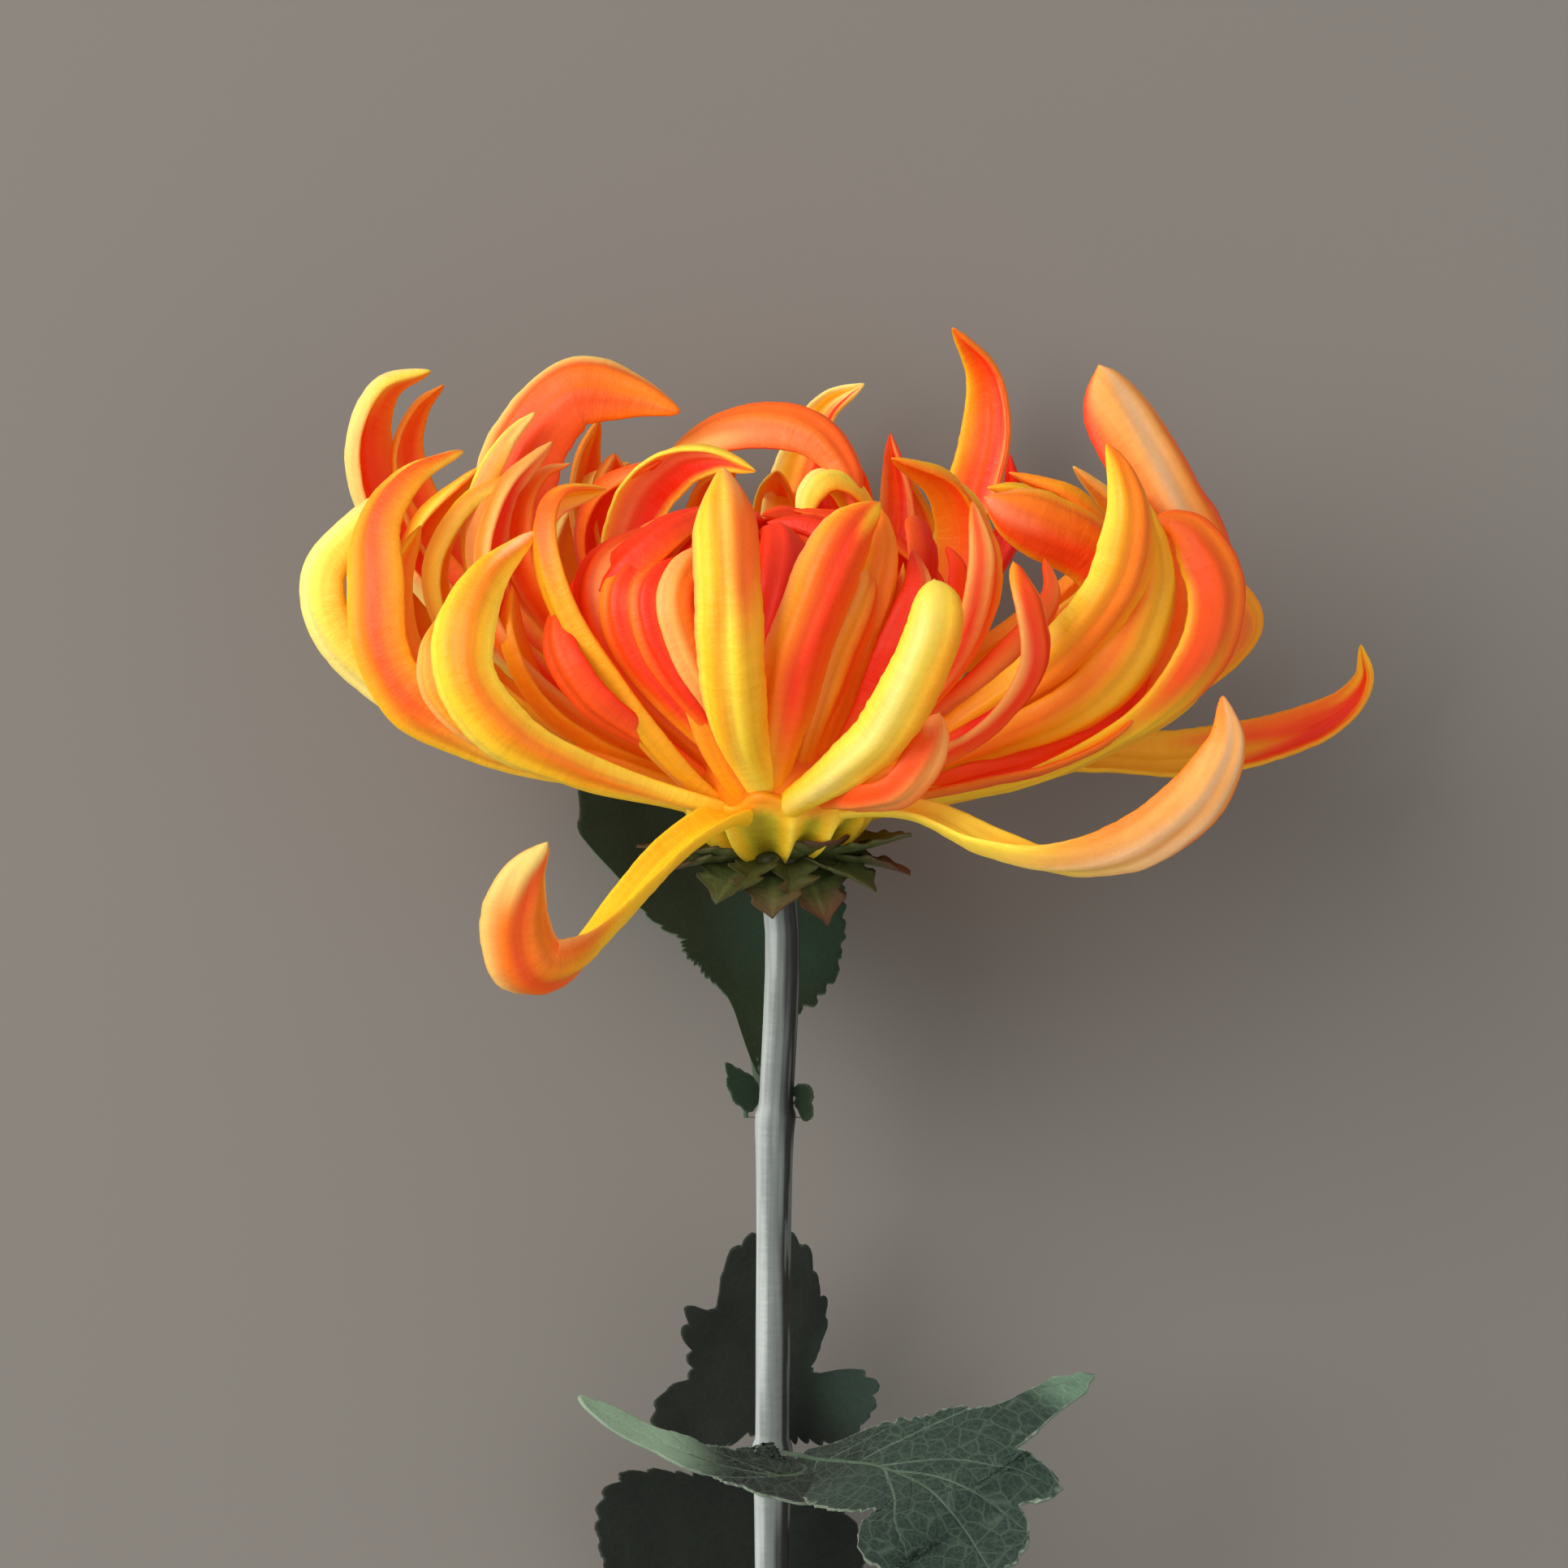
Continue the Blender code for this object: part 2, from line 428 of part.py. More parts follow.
def joined(name, core, repeats, collection):
    """The core and all repeats in one solid: a Boolean union on their collection, applied."""
    union = core.modifiers.new("grown together", "BOOLEAN")
    union.operation = "UNION"
    union.operand_type = "COLLECTION"
    union.collection = repeats
    union.solver = "MANIFOLD"
    return settled(name, core, collection, repeats)


def settled(name, source, collection, repeats=None):
    """A mesh object with the source's modifiers applied. The source and its repeats are removed."""
    bpy.context.view_layer.update()
    evaluated = source.evaluated_get(bpy.context.evaluated_depsgraph_get())
    mesh = bpy.data.meshes.new_from_object(evaluated)
    for old in [source, *(repeats.objects if repeats else [])]:
        bpy.data.objects.remove(old)
    if repeats:
        bpy.data.collections.remove(repeats)
    mesh.name = name
    keep_main_shell(mesh)
    made = bpy.data.objects.new(name, mesh)
    collection.objects.link(made)
    return made


def keep_main_shell(mesh):
    """Fills the hollows that growing together has sealed, and drops loose scraps: the largest shell stays."""
    bm = bmesh.new()
    bm.from_mesh(mesh)
    bmesh.ops.remove_doubles(bm, verts=bm.verts, dist=WELD_DISTANCE)
    waiting = set(bm.faces)
    shells = []
    while waiting:
        shell, edge_of_shell = set(), [waiting.pop()]
        while edge_of_shell:
            face = edge_of_shell.pop()
            shell.add(face)
            for neighbour in {f for edge in face.edges for f in edge.link_faces} & waiting:
                waiting.discard(neighbour)
                edge_of_shell.append(neighbour)
        shells.append(shell)
    shells.sort(key=lambda faces: sum(face.calc_area() for face in faces))
    inner = [face for shell in shells[:-1] for face in shell]
    bmesh.ops.delete(bm, geom=inner, context="FACES")
    bm.to_mesh(mesh)
    bm.free()


def new_collection(name):
    """An empty collection in the scene."""
    made = bpy.data.collections.new(name)
    bpy.context.scene.collection.children.link(made)
    return made


def finish_of(name, colour, roughness):
    """A plain non-metal material."""
    material = bpy.data.materials.new(name)
    material.use_nodes = True
    shader = material.node_tree.nodes["Principled BSDF"]
    shader.inputs["Base Color"].default_value = (*colour, 1.0)
    shader.inputs["Roughness"].default_value = roughness
    shader.inputs["Metallic"].default_value = 0.0
    return material


def bloom(collection):
    """All petals on their core, the single ones first, then the rear rows and the incurved ball."""
    repeats = new_collection("petals")
    for name, width, turn, points in PLACED_PETALS:
        petal(name, [from_view(*p) for p in points], width, turn, len(points) + 1, repeats)
    draw = random.Random(SEED)
    for row, (count, first, step, width, line) in enumerate(REAR_PETALS):
        for k in range(count):
            azimuth = math.radians(first + k * step)
            reach = 1 + (draw.uniform(-REAR_REACH_DRAW, REAR_REACH_DRAW) if row else 0)
            points = [Vector((r * math.cos(azimuth), r * math.sin(azimuth), z)) * reach for r, z in line]
            turn = [draw.uniform(-limit, limit) for limit in REAR_TURN_DRAW] if row else (0, 0)
            petal(f"rear_{row}_{k}", points, width, turn, REAR_STATIONS, repeats)
    for row, (count, first, step, width, line) in enumerate(BALL_PETALS):
        for k in range(count):
            azimuth = math.radians(first + k * step + draw.uniform(-BALL_AZIMUTH_DRAW, BALL_AZIMUTH_DRAW))
            swirl = math.radians(draw.uniform(*BALL_SWIRL))
            height = draw.uniform(*BALL_HEIGHT_DRAW)
            points = []
            for i, (r, z) in enumerate(line):
                at = azimuth + swirl * i
                points.append(Vector((r * math.cos(at) + BALL_LEAN * z, r * math.sin(at), z * height)))
            petal(f"ball_{row}_{k}", points, width, (0, 0), BALL_STATIONS, repeats)
    core = turned("core", CORE_OUTLINE, collection)
    return joined("bloom", core, repeats, collection)


def bract(name, azimuth, reach, drop, width, collection):
    """One green bract with a ragged end, spreading from the calyx."""
    outward = Vector((math.cos(azimuth), math.sin(azimuth), 0))
    across = Vector((-math.sin(azimuth), math.cos(azimuth), 0))
    root_radius, root_height = BRACT_ROOT
    rows = []
    for i, share in enumerate(BRACT_WIDTHS):
        t = i / (len(BRACT_WIDTHS) - 1)
        height = root_height + (drop - root_height) * t ** BRACT_FALL + t * (1 - t)
        spine = outward * (root_radius + (reach - root_radius) * t) + Vector((0, 0, height))
        half = width * share
        edge = Vector((0, 0, half * BRACT_CUP))
        rows.append([spine - across * half + edge, spine, spine + across * half + edge])
    rows[-1][1] += outward * BRACT_POINT
    return strip_object(name, rows, BRACT_THICKNESS, collection)


def calyx(collection):
    """The green cup under the bloom with its bracts."""
    repeats = new_collection("bracts")
    for k, (azimuth, reach, drop, width) in enumerate(BRACTS):
        bract(f"bract_{k}", math.radians(azimuth), reach, drop, width, repeats)
    return joined("calyx", turned("cup", CALYX_OUTLINE, collection), repeats, collection)


def stem_centre(z):
    """(x, y) of the stem's centre at height z."""
    for (x0, z0), (x1, z1) in zip(STEM_LINE, STEM_LINE[1:]):
        if z >= z1:
            return Vector((x0 + (x1 - x0) * (z0 - z) / (z0 - z1), 0))
    return Vector((STEM_LINE[-1][0], 0))


def stem(collection):
    """A round stem as one bevelled curve, thicker at each leaf joint."""
    stations = [(STEM_TOP, False)]
    stations += [(joint + above, full) for joint in JOINT_HEIGHTS for above, full in JOINT_PROFILE]
    stations.append((-STEM_LENGTH, False))
    curve = bpy.data.curves.new("stem", "CURVE")
    curve.dimensions = "3D"
    curve.bevel_depth = STEM_RADIUS * MM
    curve.bevel_resolution = STEM_BEVEL
    curve.use_fill_caps = True
    spline = curve.splines.new("POLY")
    spline.points.add(len(stations) - 1)
    for point, (z, full) in zip(spline.points, stations):
        centre = stem_centre(z)
        point.co = (centre.x * MM, centre.y * MM, z * MM, 1)
        point.radius = 1 + (JOINT_GROWTH / STEM_RADIUS if full else 0)
    made = bpy.data.objects.new("stem_curve", curve)
    collection.objects.link(made)
    return settled("stem", made, collection)


def leaf_edge(direction, outline):
    """Distance from the blade's centre to its edge, in a direction from 0 to 360 degrees from the midrib."""
    closed = (*outline, (360, outline[0][1]))
    for (low, near), (high, far) in zip(closed, closed[1:]):
        if direction < high:
            return near + (far - near) * (direction - low) / (high - low)
    return outline[0][1]


def leaf(name, joint, foot_way, midrib, face, centre, sides, outline, count, shares, collection):
    """A lobed leaf whose blade follows its midrib from a stalk that starts just clear of the stem."""
    line = smooth_line([stem_foot(joint, foot_way)] + [from_view(*p) for p in midrib], MIDRIB_POINTS)
    face = Vector(face).normalized()
    reach = sum((q - p).length for p, q in zip(line, line[1:]))
    length = centre + outline[0][1]

    def bent(u, v):
        """A point of the flat leaf, u across and v along, once it is bent to the midrib."""
        place = max(0.0, min(0.9999, v / reach)) * (len(line) - 1)
        k = int(place)
        along = (line[k + 1] - line[k]).normalized()
        upper = (face - along * face.dot(along)).normalized()
        across = along.cross(upper)
        rise = sides[0 if u < 0 else 1] * length * abs(u / length) ** SIDE_RISE
        outside = min(0.0, v) + max(0.0, v - reach)
        return line[k].lerp(line[k + 1], place - k) + along * outside + across * u + upper * rise

    bm = bmesh.new()
    hub = bm.verts.new(bent(0, centre) * MM)
    rings = []
    for share in shares:
        ring = []
        for k in range(count):
            angle = math.tau * k / count
            r = leaf_edge(math.degrees(angle), outline) * share
            ring.append(bm.verts.new(bent(r * math.sin(angle), centre + r * math.cos(angle)) * MM))
        rings.append(ring)
    for k in range(count):
        n = (k + 1) % count
        bm.faces.new((hub, rings[0][k], rings[0][n]))
        for inner, outer in zip(rings, rings[1:]):
            bm.faces.new((inner[k], outer[k], outer[n], inner[n]))
    bmesh.ops.triangulate(bm, faces=bm.faces)
    bmesh.ops.recalc_face_normals(bm, faces=bm.faces)
    mesh = bpy.data.meshes.new(name)
    bm.to_mesh(mesh)
    bm.free()
    blade = bpy.data.objects.new(name + "_blade", mesh)
    collection.objects.link(blade)
    solid = blade.modifiers.new("thickness", "SOLIDIFY")
    solid.thickness = LEAF_THICKNESS * MM
    solid.offset = 0.0
    repeats = new_collection(name + "_stalk")
    rows = []
    rib = RIB_WIDTH * min(1.0, 0.2 + length / 30)
    for i in range(RIB_ROWS):
        v = i / (RIB_ROWS - 1) * (centre + RIB_AHEAD * outline[0][1])
        half = rib * (1 - RIB_TAPER * i)
        rows.append([bent(-half, v), bent(0, v) - face * RIB_DEPTH, bent(half, v)])
    strip_object(name + "_rib", rows, rib, repeats)
    return joined(name, blade, repeats, collection)


def stem_foot(joint, direction):
    """Where a leaf stalk meets the stem at a joint, just clear of it."""
    way = Vector((*direction, 0)).normalized()
    clear = STEM_RADIUS + JOINT_GROWTH + LEAF_GAP + RIB_WIDTH / 2
    return Vector((*stem_centre(joint), joint)) + way * clear


def leaves(collection):
    """All leaves, each from its joint of the stem."""
    return [leaf(name, JOINT_HEIGHTS[joint], *rest, collection) for name, joint, *rest in LEAVES]


def floor_cut(piece, cutter):
    """Presses flat what would reach below the surface."""
    cut = piece.modifiers.new("pressed flat", "BOOLEAN")
    cut.operation = "DIFFERENCE"
    cut.solver = "MANIFOLD"
    cut.object = cutter


def main():
    """Builds the flower and lays it down."""
    for old in list(bpy.data.objects):
        bpy.data.objects.remove(old)
    flower = new_collection("chrysanthemum")
    cutters = new_collection("cutters")
    lie = bpy.data.objects.new("as_it_lies", None)
    flower.objects.link(lie)
    lie.rotation_euler = (REST_SLOPE - math.pi / 2, 0, 0)
    lie.location = (REST_SHIFT[0] * MM, REST_SHIFT[1] * MM, REST_HEIGHT * MM)

    made = [(bloom(flower), finish_of(*PETAL_FINISH)), (calyx(flower), finish_of(*BRACT_FINISH)),
            (stem(flower), finish_of(*STEM_FINISH))]
    leaf_finish = finish_of(*LEAF_FINISH)
    made += [(one, leaf_finish) for one in leaves(flower)]
    for piece, finish in made:
        piece.data.materials.clear()
        piece.data.materials.append(finish)
        piece.parent = lie

    bpy.ops.mesh.primitive_cube_add(size=1)
    below = bpy.context.object
    below.name = "below_the_surface"
    below.scale = [size * MM for size in SURFACE_SIZE]
    below.location = (0, 0, -SURFACE_SIZE[2] / 2 * MM)
    below.hide_render = True
    below.display_type = "WIRE"
    for owner in list(below.users_collection):
        owner.objects.unlink(below)
    cutters.objects.link(below)
    for piece, _ in made:
        if piece.name in ("bloom", "stem"):
            floor_cut(piece, below)


if __name__ == "__main__":
    main()
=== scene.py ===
"""Looks of the chrysanthemum: every petal, bract, leaf and the stem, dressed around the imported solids.

The flower is described upright in its own frame, in millimetres: +X to the viewer's right, +Y away from
the viewer, +Z up along its axis, with the origin where the bloom sits on its calyx. Petals that show one
by one are given as the viewer sees them: across, up, and near, which is towards the viewer.
"""

import logging
import math
import random
from dataclasses import dataclass, field
from enum import Enum

import bmesh
import bpy
import numpy as np
from mathutils import Matrix, Quaternion, Vector, noise


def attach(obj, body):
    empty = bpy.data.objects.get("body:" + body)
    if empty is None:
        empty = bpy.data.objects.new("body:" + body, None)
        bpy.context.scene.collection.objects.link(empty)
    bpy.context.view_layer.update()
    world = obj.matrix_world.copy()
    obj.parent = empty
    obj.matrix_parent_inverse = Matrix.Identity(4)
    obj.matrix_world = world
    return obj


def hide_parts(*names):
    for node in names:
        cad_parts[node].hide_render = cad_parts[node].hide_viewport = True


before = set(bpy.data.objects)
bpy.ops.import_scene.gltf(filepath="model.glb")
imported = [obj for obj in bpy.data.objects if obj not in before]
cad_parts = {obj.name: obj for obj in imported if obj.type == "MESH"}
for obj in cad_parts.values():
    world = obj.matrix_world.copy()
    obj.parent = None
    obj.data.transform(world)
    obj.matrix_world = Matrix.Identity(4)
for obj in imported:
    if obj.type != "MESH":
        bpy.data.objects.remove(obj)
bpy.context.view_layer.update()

LOG = logging.getLogger("chrysanthemum")
MM = 0.001
BODY = "root"
# How far above the surface the parts that lie on it are kept, in mm.
FLOOR_CLEARANCE = 0.02
# Heights of the stem's joints in the flower's own frame, in mm.
UPPER_JOINT, MIDDLE_JOINT, LOWER_JOINT = -34.0, -76.0, -117.0
# Number that all the random draws start from.
RANDOM_SEED = 7
# Seeds of the first petal of the rear and of the inner rows, and how many each row may use.
REAR_SEED, BALL_SEED, ROW_SEEDS = 200, 300, 20
# Points round each turned shape.
TURNED_STEPS = 48
# Distance in mm that counts as far from every vein and edge.
FAR = 9.0
# Least and greatest value that noise takes in most places.
NOISE_RANGE = (0.3, 0.7)

# A place or a direction, pairs of numbers in order, a colour on a screen from 0 to 255, and linear light.
Point = tuple[float, float, float]
Profile = tuple[tuple[float, float], ...]
Screen = tuple[float, float, float]
Light = tuple[float, float, float, float]


def as_light(screen: Screen) -> np.ndarray:
    """Turns a colour as seen on a screen, from 0 to 255, into linear light with full alpha."""
    share = np.array(screen) / 255.0
    return np.append(np.where(share <= 0.04045, share / 12.92, ((share + 0.055) / 1.055) ** 2.4), 1.0)


class Paint(Enum):
    """Named colours of the flower, as seen on a screen, from 0 to 255.

    The pale ones, blossom, pink, peach and cream, are also laid as painted highlights, and darker ones
    such as rust, ochre and crimson as painted shade.
    """

    CREAM = (255, 226, 126)
    LEMON = (255, 216, 66)
    YELLOW = (255, 200, 32)
    OCHRE = (242, 174, 24)
    OLIVE = (206, 186, 40)
    MOSS = (132, 108, 16)
    AMBER = (255, 162, 20)
    ORANGE = (255, 126, 16)
    RUST = (240, 88, 14)
    FLAME = (255, 84, 14)
    RED = (248, 52, 10)
    CRIMSON = (224, 34, 8)
    PEACH = (255, 172, 86)
    PINK = (255, 134, 84)
    BLOSSOM = (255, 200, 146)

    @property
    def linear(self) -> np.ndarray:
        """The colour as linear light, with full alpha."""
        return as_light(self.value)

    @classmethod
    def bands(cls, names: str, place: np.ndarray) -> np.ndarray:
        """Blends paints that lie side by side.

        Args:
            names: Their names in order, with spaces between them.
            place: Where to look, from 0 at the first paint to 1 at the last.

        Returns:
            Linear colours at those places.
        """
        paints = np.array([cls[name.upper()].linear for name in names.split()])
        knots = np.linspace(0, 1, len(paints))
        return np.stack([np.interp(place, knots, paints[:, k]) for k in range(4)], axis=-1)


@dataclass(frozen=True)
class Colours:
    """How a petal is coloured: bands of paints from the rim on the viewer's left, or above, to the other.

    Besides the petal's own colours the bands hold painted light: paler bands on lit ridges and on edges
    towards the window light on the viewer's left are painted highlights, and darker bands on the sides
    turned from it are painted shade.

    Attributes:
        outer: Bands of the outer side.
        inner: Bands of the inner side.
        root: The strap near the core.
        tip: The last few millimetres.
        start: Share of the length at which the bands begin.
        full: Share of the length at which they are full.
        rim: The thin edges, or nothing where they are like the bands.
        flush: A paint that grows over the outer side towards the tip, or nothing.
        flush_from: Share of the length at which it starts.
        flush_side: 1 if it keeps to the right half, -1 to the left one, 0 if it covers both. Kept to the
            right half, away from the window light, it is partly painted shade.
    """

    outer: str
    inner: str
    root: str = "yellow"
    tip: str = "orange"
    start: float = 0.15
    full: float = 0.5
    rim: str = ""
    flush: str = ""
    flush_from: float = 0.6
    flush_side: int = 0


@dataclass(frozen=True)
class Outline:
    """Flat outline of a petal.

    Attributes:
        strap: Share of the full width that its strap has.
        widen: Shares of the length between which it widens.
        point: Share of the length that its tip takes up.
        blunt: How late the tip narrows.
    """

    strap: float
    widen: tuple[float, float]
    point: float
    blunt: float


class Cut(Enum):
    """The kinds of outline that the petals have."""

    SLENDER = Outline(0.38, (0.12, 0.68), 0.30, 2.1)
    STRAP = Outline(0.60, (0.05, 0.50), 0.20, 2.4)
    SPOON = Outline(0.62, (0.50, 0.72), 0.18, 2.2)
    SAUSAGE = Outline(0.60, (0.10, 0.60), 0.12, 3.5)
    BLUNT = Outline(0.45, (0.12, 0.60), 0.15, 2.6)


@dataclass(frozen=True)
class Petal:
    """One petal that is given on its own.

    Attributes:
        name: Plain name of the petal.
        width: Its flat width, in mm.
        turn: Roll of the inner side towards the viewer along the petal, in degrees.
        cut: Its outline.
        colours: Its colouring.
        line: Its middle line from the core to the tip, as (across, up, near) in mm.
        curl: Share of the usual curl across it.
    """

    name: str
    width: float
    turn: tuple[float, ...]
    cut: Cut
    colours: Colours
    line: tuple[Point, ...]
    curl: float = 1.0


LEFT_PETALS = (
    Petal("left_front_hook", 9.4, (0, -45, -50), Cut.SLENDER,
          Colours("lemon lemon yellow amber orange ochre lemon", "orange amber orange", "lemon", "blossom",
                  0.1, 0.4),
          ((-9, 4.8, 11), (-16.5, 6.8, 15), (-25, 9.2, 19), (-33, 12.8, 22), (-38.2, 19, 23.5),
           (-39, 26, 23), (-36, 33.0, 20), (-29.8, 38.4, 15))),
    Petal("left_big_hook", 12.0, (0, -30, -42, -25), Cut.SLENDER,
          Colours("lemon lemon yellow amber orange flame orange amber", "amber orange amber", "lemon",
                  "lemon", 0.25, 0.5),
          ((-18, 7.6, 6), (-28, 9.4, 9), (-37.2, 12.2, 11), (-45.4, 16.8, 12), (-49.4, 23.5, 12),
           (-50.2, 31, 11), (-49.6, 39, 9), (-45.4, 45, 7), (-38.9, 48.3, 4))),
    Petal("left_pale", 10.4, (0, -35, -45), Cut.SLENDER,
          Colours("cream cream cream lemon amber", "yellow amber lemon", "yellow", "peach", 0.1, 0.4),
          ((-20, 9, 0), (-34, 12.4, 0), (-46, 17.6, 0), (-54.4, 25, 0), (-56.4, 33, 0), (-51, 40, 0),
           (-44, 45, 0))),
    Petal("left_inner", 8.0, (20, 30), Cut.SLENDER,
          Colours("yellow amber yellow", "yellow amber orange amber", "yellow", "amber"),
          ((-18, 8.4, 3), (-30, 12.4, 5), (-40, 17, 6), (-46.4, 24, 6), (-47, 32, 5), (-44.0, 39, 4))),
    Petal("left_edge", 7.0, (0, -20), Cut.SLENDER,
          Colours("peach peach amber orange", "orange flame orange", "amber", "orange"),
          ((-14, 8, 8), (-25, 11, 13), (-35.4, 13, 16), (-41.6, 18, 17), (-42.6, 24, 16), (-40, 29.6, 13))),
    Petal("left_tall", 12.4, (0, 4, 6, 2), Cut.SLENDER,
          Colours("peach cream blossom peach amber", "amber flame red flame orange", "yellow", "lemon",
                  0.3, 0.55),
          ((-14, 12, -7), (-26, 18.4, -11), (-35.8, 25.6, -14), (-44.0, 34.4, -17), (-49.2, 42, -18),
           (-50.6, 50, -18), (-48.2, 56.2, -17), (-42.9, 58.2, -16)), 1.25),
    Petal("left_tall_pair", 8.0, (10, 26, 10), Cut.SLENDER,
          Colours("amber orange amber", "peach orange flame flame orange", "yellow", "orange", 0.3, 0.6),
          ((-16, 15, -10), (-27, 22, -15), (-37, 31, -20), (-43.6, 40, -22), (-45.8, 48, -22),
           (-44.2, 53.4, -21), (-41.2, 56.4, -20))),
    Petal("top_left_hook", 13.4, (0, -60, -84, -74), Cut.SLENDER,
          Colours("cream peach rust rust flame rust rust", "flame red flame", "yellow", "orange",
                  0.2, 0.45, flush="orange", flush_from=0.78),
          ((-16, 15, -4), (-26, 26, -7), (-31.8, 36, -9), (-32.6, 45.5, -10), (-29.6, 52.2, -10),
           (-24.6, 56.3, -9), (-18, 55.5, -8), (-12.2, 53.3, -6)), 0.8),
    Petal("top_left_pale", 8.6, (0, -35), Cut.SLENDER,
          Colours("cream lemon lemon peach amber", "amber orange amber", "yellow", "cream"),
          ((-18, 13, -1), (-29, 21, -2), (-36, 31, -3), (-37, 41, -4), (-33.6, 49, -5), (-30, 53, -5))),
    Petal("left_point", 8.4, (0, 18, 24, 10), Cut.SLENDER,
          Colours("peach orange peach orange amber", "orange red red flame", "orange", "peach",
                  rim="peach"),
          ((-15, 11, 5), (-25, 17, 8), (-33.0, 25, 10), (-35.4, 34, 10), (-33.4, 43, 8), (-27.8, 49.4, 5)),
          1.15),
    Petal("left_long_strap", 6.6, (0, 20), Cut.STRAP,
          Colours("peach ochre ochre amber", "peach ochre ochre orange", "ochre", "yellow",
                  flush="flame", flush_from=0.66),
          ((-8, 5.4, 9), (-14, 11, 14), (-20.6, 19.6, 17), (-26.2, 28.6, 18), (-28.6, 37, 17),
           (-27.0, 42.2, 14), (-21.2, 43.7, 11))),
    Petal("left_short_tip", 6.8, (0, -20), Cut.SLENDER,
          Colours("amber orange flame orange", "orange flame", "amber", "peach"),
          ((-15, 14, 3), (-24, 23, 5), (-31, 33, 6), (-31.4, 41, 5), (-29.2, 45.2, 4), (-25.6, 46.8, 3))),
    Petal("mid_left_rear", 7.6, (0, 0), Cut.SLENDER,
          Colours("amber orange amber", "cream amber orange flame flame orange", "yellow", "amber"),
          ((-15, 18, -14), (-20, 29, -20), (-23.4, 40, -23), (-23.6, 47, -23), (-21.9, 52.3, -21))),
    Petal("mid_left_second", 7.8, (0, 0), Cut.BLUNT,
          Colours("amber orange amber", "peach peach orange flame flame", "yellow", "peach"),
          ((-12, 18, -10), (-17, 29, -14), (-20.4, 38, -16), (-20.8, 44.6, -15), (-20.0, 48, -13))),
    Petal("left_red", 7.0, (0, -25), Cut.SLENDER,
          Colours("rust flame rust flame red", "red crimson", "orange", "rust"),
          ((-9, 8.4, 9), (-15.4, 12.6, 14), (-21.8, 16.6, 18), (-25.6, 21, 19), (-27.2, 25.5, 18),
           (-26.2, 31, 15))),
    Petal("left_yellow_fill", 8.6, (10, 20), Cut.SLENDER,
          Colours("amber yellow amber", "amber yellow lemon amber orange", "amber", "orange"),
          ((-13, 9, 5), (-22, 12.6, 9), (-29, 18, 11), (-32.4, 25, 11), (-32.6, 31.6, 9))),
)
